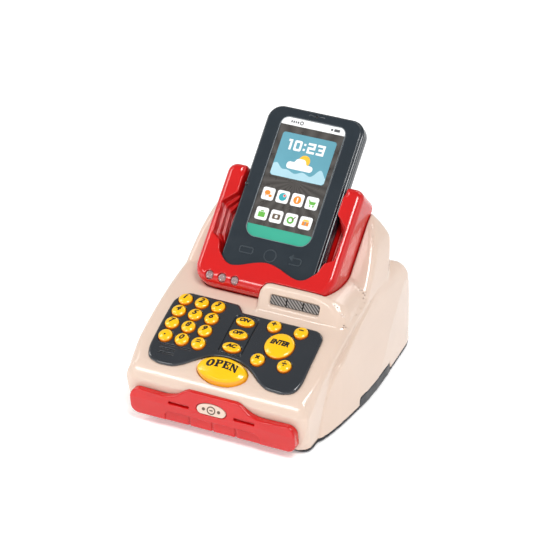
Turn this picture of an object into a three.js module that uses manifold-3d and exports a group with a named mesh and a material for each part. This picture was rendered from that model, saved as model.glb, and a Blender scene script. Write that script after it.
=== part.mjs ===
// Toy cash register with a toy phone in a cradle. Millimetres, +Z up, front at -Y.
// The origin is the middle of the footprint, on the surface that the register stands on.
import * as THREE from 'three';
import { mergeVertices } from 'three/addons/utils/BufferGeometryUtils.js';
import Module from 'manifold-3d';

const wasm = await Module();
wasm.setup();

// ---------------------------------------------------------------- driving dimensions
const GAP = 0.3; // clearance between fixed neighbours
const WALL = 2.4; // moulded wall
const DEG = Math.PI / 180;

// The deck is part of a cylinder whose axis runs along X. s is the arc length from its crown.
const DECK_RADIUS = 280;
const DECK_Y = 56.2;
const DECK_Z = -199.1;
const DECK_FRONT = -149; // s at the front edge
const DECK_REAR = -50; // s where the tower's slope begins

// The phone and its cradle share a tilted frame: x across, t up the slope, n out of it.
const TILT = 44.5 * DEG;
const SLOPE_Y = 15.7;
const SLOPE_Z = 113.5;

const BASE_BOTTOM = 0.8;
const BASE_TOP = 2.8;
const HOUSING_BOTTOM = 3.1;
const FLOOR_CUT = -10; // cutters reach this far below the part
const BODY_HALF = 72; // half-width at the deck
const FENDER_HALF = 78.6;
const REAR = 96.5;
const FRONT = -96.5;
const SEAT_DEPTH = -24.4; // n of the cradle's seat

const CRADLE_HALF = 53.5;
const CRADLE_LOW = -50; // t
const CRADLE_TOP = 41.5;
const CRADLE_BACK_TOP = 36;
const CRADLE_FRONT = 3; // n
const CRADLE_BACK = -24;
const POCKET_HALF = 38.8;
const POCKET_FLOOR = -13.8;

const PHONE_HALF = 38;
const PHONE_LOW = -40; // t
const PHONE_TOP = 91.4;
const PHONE_CORNER = 11;
const PHONE_BACK = -13.3; // n
const PHONE_SEAM = -5.7;
const PHONE_RIM = -1.7;
const PHONE_FACE = 0.7;

const PANEL_TOP = 2.2; // height over the deck
const KEY_RADIUS = 5.15;
const KEY_PITCH_X = 13;
const KEY_PITCH_S = 11.3;
const KEY_FIRST_X = -51.2;
const KEY_FIRST_S = -90;
const KEY_LOW = -2.9;
const KEY_CROWN = 4.4;
const ENTER_RADIUS = 10.8;

const OPEN_S = -139.7;
const OPEN_HALF_X = 19;
const OPEN_HALF_S = 10.3;

const TRAY_HALF = 52;
const TRAY_FRONT = -91.6;
const TRAY_REAR = 14;
const TRAY_LOW = 5.2;
const TRAY_TOP = 23.6;
const TRAY_WALL = 2;

// ---------------------------------------------------------------- helpers
function toSolid(geometry) {
  const bare = geometry.clone();
  bare.deleteAttribute('normal');
  bare.deleteAttribute('uv');
  const merged = mergeVertices(bare, 1e-4);
  const vertProperties = new Float32Array(merged.attributes.position.array);
  const triVerts = new Uint32Array(merged.index.array);
  return new wasm.Manifold(new wasm.Mesh({ numProp: 3, vertProperties, triVerts }));
}

function toGeometry(solid) {
  const mesh = solid.getMesh();
  const geometry = new THREE.BufferGeometry();
  geometry.setAttribute('position', new THREE.BufferAttribute(new Float32Array(mesh.vertProperties), 3));
  geometry.setIndex(new THREE.BufferAttribute(new Uint32Array(mesh.triVerts), 1));
  return geometry;
}

function prism(points, low, high, frame) {
  const shape = new THREE.Shape(points.map(([x, y]) => new THREE.Vector2(x, y)));
  const geometry = new THREE.ExtrudeGeometry(shape, { depth: high - low, bevelEnabled: false });
  geometry.translate(0, 0, low);
  geometry.applyMatrix4(frame);
  return toSolid(geometry);
}

function frameOf(x, y, z, origin = [0, 0, 0]) {
  const matrix = new THREE.Matrix4();
  matrix.makeBasis(new THREE.Vector3(...x), new THREE.Vector3(...y), new THREE.Vector3(...z));
  return matrix.setPosition(...origin);
}

const ALONG_X = frameOf([0, 1, 0], [0, 0, 1], [1, 0, 0]);
const ALONG_Y = frameOf([1, 0, 0], [0, 0, 1], [0, -1, 0]);
const ALONG_Z = new THREE.Matrix4();
const SLOPE = frameOf(
  [1, 0, 0],
  [0, Math.cos(TILT), Math.sin(TILT)],
  [0, -Math.sin(TILT), Math.cos(TILT)],
  [0, SLOPE_Y, SLOPE_Z],
);

const prismX = (yz, x0, x1) => prism(yz, x0, x1, ALONG_X);
const prismY = (xz, y0, y1) => prism(xz, -y1, -y0, ALONG_Y);
const prismZ = (xy, z0, z1) => prism(xy, z0, z1, ALONG_Z);
const prismN = (xt, n0, n1) => prism(xt, n0, n1, SLOPE);

// The frame that stands on the deck at (x, s), with its local z along the deck's normal.
function deckFrame(x, s) {
  const a = s / DECK_RADIUS;
  const across = [0, Math.cos(a), -Math.sin(a)];
  const normal = [0, Math.sin(a), Math.cos(a)];
  const origin = [x, DECK_Y + DECK_RADIUS * normal[1], DECK_Z + DECK_RADIUS * normal[2]];
  return frameOf([1, 0, 0], across, normal, origin);
}

function deckPoint(s, height = 0) {
  const a = s / DECK_RADIUS;
  return [DECK_Y + (DECK_RADIUS + height) * Math.sin(a), DECK_Z + (DECK_RADIUS + height) * Math.cos(a)];
}

function deckArc(s0, s1, steps, height = 0) {
  return Array.from({ length: steps + 1 }, (_, i) => deckPoint(s0 + ((s1 - s0) * i) / steps, height));
}

const mirrored = (half) => [...half, ...half.toReversed().map(([x, y]) => [-x, y])];

function box(x0, x1, y0, y1, z0, z1) {
  return prismZ([[x0, y0], [x1, y0], [x1, y1], [x0, y1]], z0, z1);
}

function roundedBox2d(x0, x1, y0, y1, radius, steps = 4) {
  const corners = [[x1 - radius, y0 + radius, -90], [x1 - radius, y1 - radius, 0],
    [x0 + radius, y1 - radius, 90], [x0 + radius, y0 + radius, 180]];
  return corners.flatMap(([cx, cy, from]) => arc(cx, cy, radius, radius, from, from + 90, steps));
}

function arc(cx, cy, rx, ry, from, to, steps) {
  return Array.from({ length: steps + 1 }, (_, i) => {
    const a = (from + ((to - from) * i) / steps) * DEG;
    return [cx + rx * Math.cos(a), cy + ry * Math.sin(a)];
  });
}

const ellipse = (rx, ry, steps = 24) => arc(0, 0, rx, ry, 0, 360 - 360 / steps, steps - 1);

function cylinder(x, y, z0, z1, radius, sides = 16, frame = ALONG_Z) {
  const circle = ellipse(radius, radius, sides).map(([px, py]) => [px + x, py + y]);
  return prism(circle, z0, z1, frame);
}

// Moves every edge of a closed outline inwards by a distance.
function inset(points, distance) {
  const n = points.length;
  const area = points.reduce((sum, [x, y], i) => {
    const [u, v] = points[(i + 1) % n];
    return sum + x * v - u * y;
  }, 0);
  const side = area > 0 ? 1 : -1;
  const edges = points.map(([x, y], i) => {
    const [u, v] = points[(i + 1) % n];
    const length = Math.hypot(u - x, v - y);
    const normal = [(-(v - y) / length) * side, ((u - x) / length) * side];
    return { normal, offset: normal[0] * x + normal[1] * y + distance };
  });
  return edges.map((b, i) => {
    const a = edges[(i + n - 1) % n];
    const det = a.normal[0] * b.normal[1] - a.normal[1] * b.normal[0];
    if (Math.abs(det) < 1e-3) {
      return [points[i][0] + b.normal[0] * distance, points[i][1] + b.normal[1] * distance];
    }
    return [
      (a.offset * b.normal[1] - b.offset * a.normal[1]) / det,
      (b.offset * a.normal[0] - a.offset * b.normal[0]) / det,
    ];
  });
}

const grow = (points, distance) => inset(points, -distance);

// ---------------------------------------------------------------- materials and nodes
const finishes = {
  cream: { color: 0xf3dcc8, roughness: 0.28, metalness: 0 },
  red: { color: 0xd81b20, roughness: 0.25, metalness: 0 },
  charcoal: { color: 0x3a3f44, roughness: 0.35, metalness: 0 },
  phone: { color: 0x2f3b45, roughness: 0.35, metalness: 0 },
  yellow: { color: 0xffc21a, roughness: 0.3, metalness: 0 },
  white: { color: 0xf4f4f2, roughness: 0.5, metalness: 0 },
  smoked: { color: 0x4c4846, roughness: 0.1, metalness: 0 },
  clear: { color: 0xb9a0a4, roughness: 0.1, metalness: 0 },
  silicone: { color: 0xc9ccd0, roughness: 0.7, metalness: 0 },
  board: { color: 0x1f6b3a, roughness: 0.5, metalness: 0 },
  steel: { color: 0xb8bcc0, roughness: 0.3, metalness: 1 },
  rubber: { color: 0x222222, roughness: 0.9, metalness: 0 },
  cell: { color: 0x2a5aa0, roughness: 0.4, metalness: 0.2 },
  natural: { color: 0xe8e4d8, roughness: 0.5, metalness: 0 },
};

const register = new THREE.Group();

function addNode(name, solid, finish) {
  const geometry = toGeometry(solid);
  geometry.computeVertexNormals();
  const mesh = new THREE.Mesh(geometry, new THREE.MeshStandardMaterial(finishes[finish]));
  mesh.name = name;
  register.add(mesh);
}

// ---------------------------------------------------------------- outer forms
// Side profile of the nose, deck and tower, as [y, z].
function bodySide(bottom) {
  return [
    [88, bottom],
    [-85.5, bottom],
    [-88.5, 7],
    [-91.2, 16],
    [-91.8, 30],
    [-90.5, 36.5],
    ...deckArc(DECK_FRONT, DECK_REAR, 8),
    [53.5, 122.6],
    [56.5, 121.5],
    [59, 115],
    [63.5, 103],
    [68, 88],
    [76, 60],
    [84, 25],
  ];
}

// Front profile of the same body, as [x, z].
function bodyFront(bottom) {
  return mirrored([
    [68.6, bottom],
    [70.4, 20],
    [BODY_HALF, 45],
    [BODY_HALF, 70],
    [71, 82],
    [69, 94],
    [65.5, 105],
    [60.5, 114],
    [54.8, 120],
    [48, 130],
  ]);
}

function bodyPlan() {
  return mirrored([
    [60, -100], [62, -91.8], [68.5, -89], [71, -82], [74, -70], [74, 18],
    [72.8, 38], [69, 55], [61, 69], [48, 80], [32, 87], [20, 90],
  ]);
}

function fenderSide(bottom) {
  return [
    [REAR - 1, bottom],
    [-66.6, bottom],
    [-65.5, 16.8],
    [-62, 32],
    [-54, 44.5],
    [-42, 52.5],
    [-25, 60.5],
    [-1.5, 69.5],
    [27, 76.5],
    [52, 79.5],
    [63, 79.5],
    [71, 76.5],
    [77.5, 68],
    [83, 54],
    [88.5, 34],
    [93, 12],
  ];
}

function fenderFront(bottom) {
  return mirrored([
    [FENDER_HALF, bottom], [78.3, 14], [76.8, 40], [74.6, 62], [73.2, 71], [70.5, 76.5], [65, 85],
  ]);
}

function fenderPlan() {
  return mirrored([
    [66, -72],
    [70.4, -66],
    [72.8, -57.5],
    [75.5, -41],
    [77.8, -15],
    [FENDER_HALF, 4],
    [78, 24],
    [76.2, 48],
    [74, 80],
    [71.5, 89],
    [65, 95],
    [56, REAR],
  ]);
}

const HUMP_TOP = 88;
const HUMP_LEFT = 0.5;
const HUMP_FACE = 65.3 * DEG;
const HUMP_FOOT_Y = -26.4;
const HUMP_FOOT_Z = 67.5;

function humpSide() {
  const rise = 17;
  const run = rise / Math.tan(HUMP_FACE);
  return [
    [HUMP_FOOT_Y, HUMP_FOOT_Z],
    [HUMP_FOOT_Y + run, HUMP_FOOT_Z + rise],
    [HUMP_FOOT_Y + run + 1.5, HUMP_TOP - 1],
    [HUMP_FOOT_Y + run + 4, HUMP_TOP],
    [20, HUMP_TOP],
    [20, HUMP_FOOT_Z],
  ];
}

function humpFront() {
  return [
    [HUMP_LEFT, HUMP_FOOT_Z - 8],
    [HUMP_LEFT, HUMP_TOP - 9],
    ...arc(HUMP_LEFT + 9, HUMP_TOP - 9, 9, 9, 157.5, 90, 3),
    ...arc(61, HUMP_TOP - 9, 9, 9, 90, 0, 4),
    [70.5, HUMP_FOOT_Z - 8],
  ];
}

// A point of the slope's frame, as [y, z].
function slopePoint(t, n) {
  const across = Math.cos(TILT);
  const up = Math.sin(TILT);
  return [SLOPE_Y + t * across - n * up, SLOPE_Z + t * up + n * across];
}

// Section of the display housing, which fills a notch in the cradle's lower edge.
function displaySection() {
  const lipLow = -39.3;
  const pocketSide = -43.3;
  return [
    ...humpSide().slice(0, 3),
    slopePoint(lipLow, 3.9),
    slopePoint(lipLow, 0.2),
    slopePoint(pocketSide, 0.2),
    slopePoint(pocketSide, -14),
    [-5.5, HUMP_FOOT_Z - 2],
  ];
}

function displayBlock(margin) {
  const section = prismX(grow(displaySection(), margin), HUMP_LEFT - margin, CRADLE_HALF + 1);
  return section.intersect(prismY(grow(humpFront(), margin), -60, 40));
}

function displayHollow() {
  const section = [
    [-24, 62], [-23.9, 67.5], [-18.9, 78.6], [-15.6, 78.6], [-12.4, 76], [-16, 71], [-16.6, 62],
  ];
  return prismX(section, 3, 66);
}

function form(sides, front, plan, thickness) {
  const wide = prismX(inset(sides, thickness), -90, 90);
  const tall = prismY(inset(front, thickness), -110, 110);
  return wide.intersect(tall).intersect(prismZ(inset(plan, thickness), -20, 140));
}

function fenderForm(thickness, bottom) {
  return form(fenderSide(bottom), fenderFront(bottom), fenderPlan(), thickness);
}

function humpForm(thickness) {
  const side = prismX(inset(humpSide(), thickness), 0, 75);
  return side.intersect(prismY(inset(humpFront(), thickness), -60, 40));
}

function housingForm(thickness, bottom) {
  const body = form(bodySide(bottom), bodyFront(bottom), bodyPlan(), thickness);
  return body.add(fenderForm(thickness, bottom)).add(humpForm(thickness));
}

// ---------------------------------------------------------------- cradle outlines
function cradleOutline() {
  return mirrored([
    ...arc(CRADLE_HALF - 14, CRADLE_LOW + 14, 14, 14, -90, 0, 4),
    [CRADLE_HALF, 31],
    ...arc(CRADLE_HALF - 8, CRADLE_TOP - 8, 8, 8, 22.5, 90, 3),
    [POCKET_HALF + 1.5, CRADLE_TOP],
    [POCKET_HALF, CRADLE_TOP - 1.5],
    [POCKET_HALF, CRADLE_BACK_TOP],
  ]);
}

// Opening of the front face. step is how far the side notch closes in with depth.
function cradleOpening(step = 0) {
  const half = [
    [9, -27.2],
    [14, -29.8],
    [20, -32],
    [26.7, -33],
    [31.5, -31.2],
    [35.8, -27.5],
    [38.6 - step * 0.1, -23.5],
    [40.6 - step * 0.1, -18.2 + step * 0.1],
    [47.4 - step, -13.8 + step],
    [48.6 - step, 11 - step],
    [POCKET_HALF, 20.2 - step],
    [POCKET_HALF, 60],
  ];
  return [[0, -25.5], ...mirrored(half)];
}

const LAMP_T = -44.1;
const LAMP_XS = [-40, -30, -20];
const LAMP_RADIUS = 2.8;

function makeCradle() {
  const frontSkin = 0.6;
  const pocketLow = -40.7;
  const chamfer = 4.5;
  const section = [[80, -40], [80, CRADLE_FRONT], [CRADLE_LOW + chamfer, CRADLE_FRONT],
    [CRADLE_LOW, CRADLE_FRONT - chamfer], [CRADLE_LOW, -40]].map(([t, n]) => slopePoint(t, n));
  const outer = prismN(cradleOutline(), CRADLE_BACK, CRADLE_FRONT).intersect(prismX(section, -60, 60));
  const hollow = prismN(inset(cradleOutline(), WALL), CRADLE_BACK - 1, frontSkin)
    .intersect(prismX(inset(section, WALL), -60, 60));
  const shell = outer.subtract(hollow);
  const tub = prismN(roundedBox2d(-51, 51, pocketLow - 2, CRADLE_BACK_TOP - 0.5, 6), POCKET_FLOOR - 2.2, 1);
  let cradle = shell.add(tub);
  const pocket = roundedBox2d(-POCKET_HALF, POCKET_HALF, pocketLow, 80, 9);
  cradle = cradle.subtract(prismN(pocket, POCKET_FLOOR, 1));
  cradle = cradle.subtract(prismN(cradleOpening(), -4, CRADLE_FRONT + 1));
  cradle = cradle.subtract(prismN(cradleOpening(2.2), -8.5, 0));
  cradle = cradle.subtract(prismN(cradleOpening(4.4), POCKET_FLOOR, 0));
  cradle = cradle.subtract(displayBlock(GAP));
  const lampHoles = LAMP_XS.map((x) => cylinder(x, LAMP_T, -6, 4, LAMP_RADIUS + GAP, 16, SLOPE));
  return lampHoles.reduce((rest, hole) => rest.subtract(hole), cradle);
}

function makeLamp(x) {
  const stem = cylinder(x, LAMP_T, -5, 2.6, LAMP_RADIUS, 16, SLOPE);
  const crown = cylinder(x, LAMP_T, 2.5, 3.5, LAMP_RADIUS - 0.9, 16, SLOPE);
  return stem.add(crown);
}

// ---------------------------------------------------------------- keypad
const PANEL_S = -114; // middle of the panel

// Outline of the keypad panel as [x, s], with the arch that clears the drawer button.
function panelOutline() {
  const upper = [
    ...arc(50.5, -97, 8.5, 8.5, 0, 90, 4),
    [-6, -88.5],
    [-9, -87.2],
    [-13.5, -83.2],
    [-16.5, -82],
    ...arc(-52, -90.2, 8.2, 8.2, 90, 180, 4),
  ];
  const lowerHalf = [[10, -129.9], [16, -132.5], [21.5, -136], [27, -140]];
  const corner = [...arc(40, -134, 13, 12, 225, 270, 2), ...arc(47, -134, 12.6, 12, 270, 360, 4)];
  const right = [...lowerHalf, ...corner];
  const left = right.toReversed().map(([x, s]) => [-x, s]);
  return [...upper, ...left, [0, -128.6], ...right];
}

function onDeckPlane(points) {
  return points.map(([x, s]) => [x, DECK_RADIUS * Math.sin((s - PANEL_S) / DECK_RADIUS)]);
}

// A plate that follows the deck's curve between two heights, cut to an outline.
function deckPlate(outline, low, high, steps = 6) {
  const s0 = DECK_FRONT - 12;
  const s1 = -66;
  const band = prismX([...deckArc(s0, s1, steps, high), ...deckArc(s1, s0, steps, low)], -70, 70);
  return band.intersect(prism(onDeckPlane(outline), -14, 14, deckFrame(0, PANEL_S)));
}

const OPERATOR_ROW = -95;
const numberKeys = ['1', '2', '3', '4', '5', '6', '7', '8', '9', 'point', '0', 'equals'];
const roundKeys = numberKeys.map((label, i) => ({
  name: `key_${label}`,
  x: KEY_FIRST_X + KEY_PITCH_X * (i % 3),
  s: KEY_FIRST_S - KEY_PITCH_S * Math.floor(i / 3),
  radius: KEY_RADIUS,
}));
roundKeys.push(
  { name: 'key_plus', x: 21.2, s: OPERATOR_ROW, radius: KEY_RADIUS },
  { name: 'key_minus', x: 42, s: OPERATOR_ROW, radius: KEY_RADIUS },
  { name: 'key_times', x: 21.6, s: -125, radius: KEY_RADIUS },
  { name: 'key_divide', x: 42.2, s: -125, radius: KEY_RADIUS },
  { name: 'key_enter', x: 32, s: -110, radius: ENTER_RADIUS },
);
const ovalKeys = ['on', 'off', 'clear'].map((label, i) => ({
  name: `key_${label}`,
  x: -0.5,
  s: -97.2 - 11.7 * i,
  halfX: 7,
  halfS: 4.1,
}));

function keyEars(reach, width = 3) {
  return box(-reach, reach, -width / 2, width / 2, -1.9, -0.9);
}

function makeRoundKey({ x, s, radius }) {
  const profile = [
    [0, KEY_LOW], [radius, KEY_LOW], [radius, PANEL_TOP + 0.8], [radius * 0.86, KEY_CROWN - 0.7],
    [radius * 0.5, KEY_CROWN - 0.15], [0, KEY_CROWN]];
  const lathe = new THREE.LatheGeometry(profile.map(([r, h]) => new THREE.Vector2(r, h)), 16);
  lathe.rotateX(90 * DEG);
  return toSolid(lathe).add(keyEars(radius + 0.95)).transform(deckFrame(x, s).elements);
}

function makeOvalKey({ x, s, halfX, halfS }) {
  const body = prismZ(ellipse(halfX, halfS, 20), KEY_LOW, PANEL_TOP + 0.8);
  const crown = prismZ(ellipse(halfX - 1, halfS - 1, 20), PANEL_TOP, KEY_CROWN - 0.6);
  return body.add(crown).add(keyEars(halfX + 0.9, 2)).transform(deckFrame(x, s).elements);
}

function keyHole({ x, s, radius, halfX, halfS }) {
  const clearance = 0.35;
  const outline = ellipse((radius ?? halfX) + clearance, (radius ?? halfS) + clearance, 16);
  return prism(outline, -6, 8, deckFrame(x, s));
}

function makeKeypadPanel() {
  const plate = deckPlate(panelOutline(), 0.25, PANEL_TOP);
  return [...roundKeys, ...ovalKeys].reduce((rest, key) => rest.subtract(keyHole(key)), plate);
}

function makeMembrane() {
  return deckPlate(inset(panelOutline(), 5), -6.2, -4.6);
}

// ---------------------------------------------------------------- drawer button and latch
const LATCH_PIVOT_Y = -58;
const LATCH_PIVOT_Z = 33;
const LATCH_PIN_RADIUS = 1.5;

function makeOpenButton() {
  const profile = [
    [0, -5.2], [1.06, -5.2], [1.06, -4.1], [1, -4.1], [1, 1.6], [0.95, 2.9], [0.8, 4.1], [0.45, 5],
    [0, 5.2]];
  const lathe = new THREE.LatheGeometry(profile.map(([r, h]) => new THREE.Vector2(r, h)), 24);
  lathe.rotateX(90 * DEG);
  lathe.scale(OPEN_HALF_X, OPEN_HALF_S, 1);
  const stem = box(-4, 4, -3, 3, -10.4, -5);
  return toSolid(lathe).add(stem).transform(deckFrame(0, OPEN_S).elements);
}

function makeLatchLever() {
  const outline = [
    [-77, 33.2],
    [-72, 32.2],
    [-58, 29.5],
    [-46, 29],
    [-44.5, 25],
    [-41, 25],
    [-40, 31],
    [-44, 33.5],
    [-58, 36.2],
    [-72, 34.8],
    [-77, 34.8],
  ];
  const lever = prismX(outline, -5, 5);
  return lever.subtract(cylinder(LATCH_PIVOT_Y, LATCH_PIVOT_Z, -6, 6, LATCH_PIN_RADIUS + 0.2, 16, ALONG_X));
}

// A beam between the two front screw posts, with two cheeks that carry the latch's pin.
function makeLatchBracket() {
  const beamLow = 39.6;
  const beamEnd = 56.1;
  const beam = box(-beamEnd, beamEnd, -59.5, -53.5, beamLow, beamLow + 3);
  const cheek = (side) => box(side * 7.5 - 1.5, side * 7.5 + 1.5, -61.5, -54, 30, beamLow + 0.5);
  const cheeks = [-1, 1].map(cheek);
  const hole = cylinder(LATCH_PIVOT_Y, LATCH_PIVOT_Z, -10, 10, LATCH_PIN_RADIUS + GAP, 16, ALONG_X);
  return cheeks.reduce((all, cheek) => all.add(cheek), beam).subtract(hole);
}

// ---------------------------------------------------------------- housing and base
const DRAWER_MOUTH_TOP = 25.2;
const SCREW_SPOTS = [[-60.5, -58], [60.5, -58], [-60.5, 70], [60.5, 70]];
const WINDOW = { x: 29, width: 38.7, height: 8.3, faceZ: 78 };

// The frame on the sloping face of the display hump, with local y up the face.
function windowFrame() {
  const rise = WINDOW.faceZ - HUMP_FOOT_Z;
  const y = HUMP_FOOT_Y + rise / Math.tan(HUMP_FACE);
  const up = [0, Math.cos(HUMP_FACE), Math.sin(HUMP_FACE)];
  const out = [0, -Math.sin(HUMP_FACE), Math.cos(HUMP_FACE)];
  return frameOf([1, 0, 0], up, out, [WINDOW.x, y, WINDOW.faceZ]);
}

function windowBlock(margin, low, high) {
  const halfX = WINDOW.width / 2 - margin;
  const halfY = WINDOW.height / 2 - margin;
  const outline = roundedBox2d(-halfX, halfX, -halfY, halfY, 1.2 - Math.min(margin, 0.6), 2);
  return prism(outline, low, high, windowFrame());
}

const SIDE_TAB = [[-14, 0], [-13.7, 9.2], [41, 8.8], [42.5, 0]];

function makeHousing() {
  const outer = housingForm(0, HOUSING_BOTTOM);
  const cavity = housingForm(WALL, FLOOR_CUT);
  const seatWalls = prismN(grow(cradleOutline(), GAP + 2), SEAT_DEPTH - 2.2, 60);
  let housing = outer.subtract(cavity).add(outer.intersect(seatWalls));
  for (const [x, y] of SCREW_SPOTS) {
    housing = housing.add(outer.intersect(cylinder(x, y, 10.4, 90, 4, 12)));
    housing = housing.subtract(cylinder(x, y, 0, 19, 1.8, 12));
  }
  housing = housing.subtract(prismN(grow(cradleOutline(), GAP), SEAT_DEPTH, 60));
  housing = housing.add(displayBlock(0)).subtract(displayHollow());
  housing = housing.subtract(box(-TRAY_HALF - 1.2, TRAY_HALF + 1.2, -100, -80, 0, DRAWER_MOUTH_TOP));
  for (const key of roundKeys.filter(({ s }) => s === OPERATOR_ROW)) housing = housing.subtract(keyHole(key));
  const keypadBay = prism(onDeckPlane(inset(panelOutline(), 2)), -14, 14, deckFrame(0, PANEL_S));
  housing = housing.subtract(keypadBay);
  const buttonHole = prism(ellipse(OPEN_HALF_X + 0.4, OPEN_HALF_S + 0.4), -8, 8, deckFrame(0, OPEN_S));
  housing = housing.subtract(buttonHole).subtract(windowBlock(0, -6, 3));
  for (const side of [-1, 1]) {
    const tab = prismX(grow(SIDE_TAB, 0.4), 70 * side - 12, 70 * side + 12);
    housing = housing.subtract(tab);
  }
  return housing;
}

const BATTERY_Y = 60;
const BATTERY_RADIUS = 7.1;
const DOOR_SCREW_Y = 83.5;
const RAIL_X = 54; // guides beside the drawer
const RAIL_TOP = 7.5;
const SPRING_END = 33.8;

function makeBasePlate() {
  const nosePlan = mirrored([[62, -83.5], [66, -81], [68.6, -75], [69.5, -60]]);
  const plan = prismZ(nosePlan, BASE_BOTTOM, BASE_TOP);
  let base = plan.add(prismZ(fenderPlan(), BASE_BOTTOM, BASE_TOP));
  const tabs = fenderForm(0, BASE_BOTTOM).intersect(
    prismX(SIDE_TAB, -90, 90).subtract(box(-75.5, 75.5, -40, 60, -5, 20)),
  );
  base = base.add(tabs.intersect(box(-90, 90, -40, 60, BASE_BOTTOM, 20)));
  for (const side of [-1, 1]) {
    base = base.add(box(side * RAIL_X - 0.9, side * RAIL_X + 0.9, -78, 34, BASE_TOP - 0.5, RAIL_TOP));
  }
  base = base.add(box(-34, 34, BATTERY_Y - 19, BATTERY_Y + 19, BASE_TOP - 0.5, 19));
  base = base.subtract(box(-32.2, 32.2, BATTERY_Y - 17.2, BATTERY_Y + 17.2, BASE_TOP - 0.2, 25));
  base = base.subtract(box(-31, 31, BATTERY_Y - 16, BATTERY_Y + 16, -1, BASE_TOP + 1));
  base = base.add(box(-7, 7, SPRING_END + GAP, SPRING_END + 2.8, BASE_TOP - 0.5, 19));
  for (const [x, y] of SCREW_SPOTS) {
    base = base.add(cylinder(x, y, BASE_TOP - 0.5, 10, 4.6, 16));
    base = base.subtract(cylinder(x, y, -1, 12, 1.9, 12)).subtract(cylinder(x, y, -1, 4.5, 3.6, 12));
  }
  for (const [x, y] of FOOT_SPOTS) base = base.subtract(cylinder(x, y, 0, 1.6, FOOT_RADIUS + GAP, 16));
  base = base.add(cylinder(0, DOOR_SCREW_Y, BASE_TOP - 0.5, 9, 4, 12));
  base = base.subtract(box(-5.3, 5.3, BATTERY_Y + 15, DOOR_SCREW_Y + 4.3, -1, BASE_BOTTOM + 1));
  return base.subtract(cylinder(0, DOOR_SCREW_Y, -1, 8, 1.3, 12));
}

const FOOT_RADIUS = 5.5;
const FOOT_SPOTS = [[-58, -74], [58, -74], [-64, 84], [64, 84]];

const makeFoot = (x, y) => cylinder(x, y, 0, 1.3, FOOT_RADIUS, 16);

function makeHousingScrew(x, y) {
  const head = cylinder(x, y, 2.2, 4.2, 3, 12);
  return head.add(cylinder(x, y, 4, 17, 1.4, 12));
}

function makeBatteryDoor() {
  const leaf = box(-30.7, 30.7, BATTERY_Y - 15.7, BATTERY_Y + 15.7, BASE_BOTTOM, BASE_TOP - 0.4);
  const tongue = box(-5, 5, BATTERY_Y + 15, DOOR_SCREW_Y + 4, BASE_BOTTOM, BASE_BOTTOM + 0.7);
  return leaf.add(tongue).subtract(cylinder(0, DOOR_SCREW_Y, -1, 3, 1.3, 12));
}

function makeDoorScrew() {
  return cylinder(0, DOOR_SCREW_Y, 0.1, 0.5, 2.4, 12).add(cylinder(0, DOOR_SCREW_Y, 0.4, 7, 1, 12));
}

function makeBattery(y) {
  const centreZ = BASE_TOP + GAP + BATTERY_RADIUS;
  const can = cylinder(y, centreZ, -25, 23.5, BATTERY_RADIUS, 20, ALONG_X);
  return can.add(cylinder(y, centreZ, 23.4, 25, 2.7, 12, ALONG_X));
}

function makeContact(side) {
  return box(side * 28 - 0.3, side * 28 + 0.3, BATTERY_Y - 15, BATTERY_Y + 15, BASE_TOP + 1, 16);
}

// ---------------------------------------------------------------- drawer
function makeTray() {
  const outer = box(-TRAY_HALF, TRAY_HALF, TRAY_FRONT, TRAY_REAR, TRAY_LOW, TRAY_TOP);
  const crossY = -44;
  const columns = [[-TRAY_HALF + TRAY_WALL, -18], [-16, 16], [18, TRAY_HALF - TRAY_WALL]];
  const rows = [[TRAY_FRONT + TRAY_WALL, crossY], [crossY + TRAY_WALL, TRAY_REAR - TRAY_WALL]];
  const pockets = rows.flatMap(([y0, y1]) => columns.map(([x0, x1]) => prismZ(
    roundedBox2d(x0, x1, y0, y1, 3, 2), TRAY_LOW + TRAY_WALL, TRAY_TOP + 5)));
  return pockets.reduce((rest, pocket) => rest.subtract(pocket), outer);
}

const FASCIA_HALF = 64.4;
const FASCIA_CREASE_Z = 20.5;

function fasciaOutline() {
  const half = [
    [17, 34.8],
    [21, 34],
    [25, 31.8],
    [30, 28.4],
    [34, 26.9],
    [38, 26.6],
    ...arc(FASCIA_HALF - 7.5, 27.3 - 7.5, 7.5, 7.5, 90, 0, 4),
    ...arc(FASCIA_HALF - 6.5, 6.5 + 6.5, 6.5, 6.5, 0, -90, 3),
  ];
  return mirrored(half);
}

function makeFascia() {
  const back = -92.2;
  const section = [
    [back, 40], [back, 2], [-94.6, 2], [-94.9, 6.5], [FRONT, FASCIA_CREASE_Z], [-93.4, 36], [-93.2, 40],
  ];
  let fascia = prismY(fasciaOutline(), -99, back).intersect(prismX(section, -80, 80));
  const band = prismY([[-37, 2], [-37, 12], [-33, 15], [33, 15], [37, 12], [37, 2]], -99, -95.1);
  fascia = fascia.subtract(band);
  for (const x of [-18, 0, 18]) fascia = fascia.subtract(box(x - 0.6, x + 0.6, -99, -94.2, 2, 14.6));
  for (const side of [-1, 1]) {
    fascia = fascia.subtract(box(25.5 * side - 8, 25.5 * side + 8, -99, -93.6, 21.4, 22.6));
  }
  return fascia.subtract(badgePlate(GAP, 4));
}

const BADGE_LEAN = 78 * DEG;

// The badge lies on the fascia's upper face.
function badgePlate(margin, high) {
  const frame = frameOf(
    [1, 0, 0],
    [0, Math.cos(BADGE_LEAN), Math.sin(BADGE_LEAN)],
    [0, -Math.sin(BADGE_LEAN), Math.cos(BADGE_LEAN)],
    [0, -95.3, 25.6],
  );
  return prism(ellipse(11.3 + margin, 4.6 + margin, 24), -1 - margin, high, frame);
}

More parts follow.
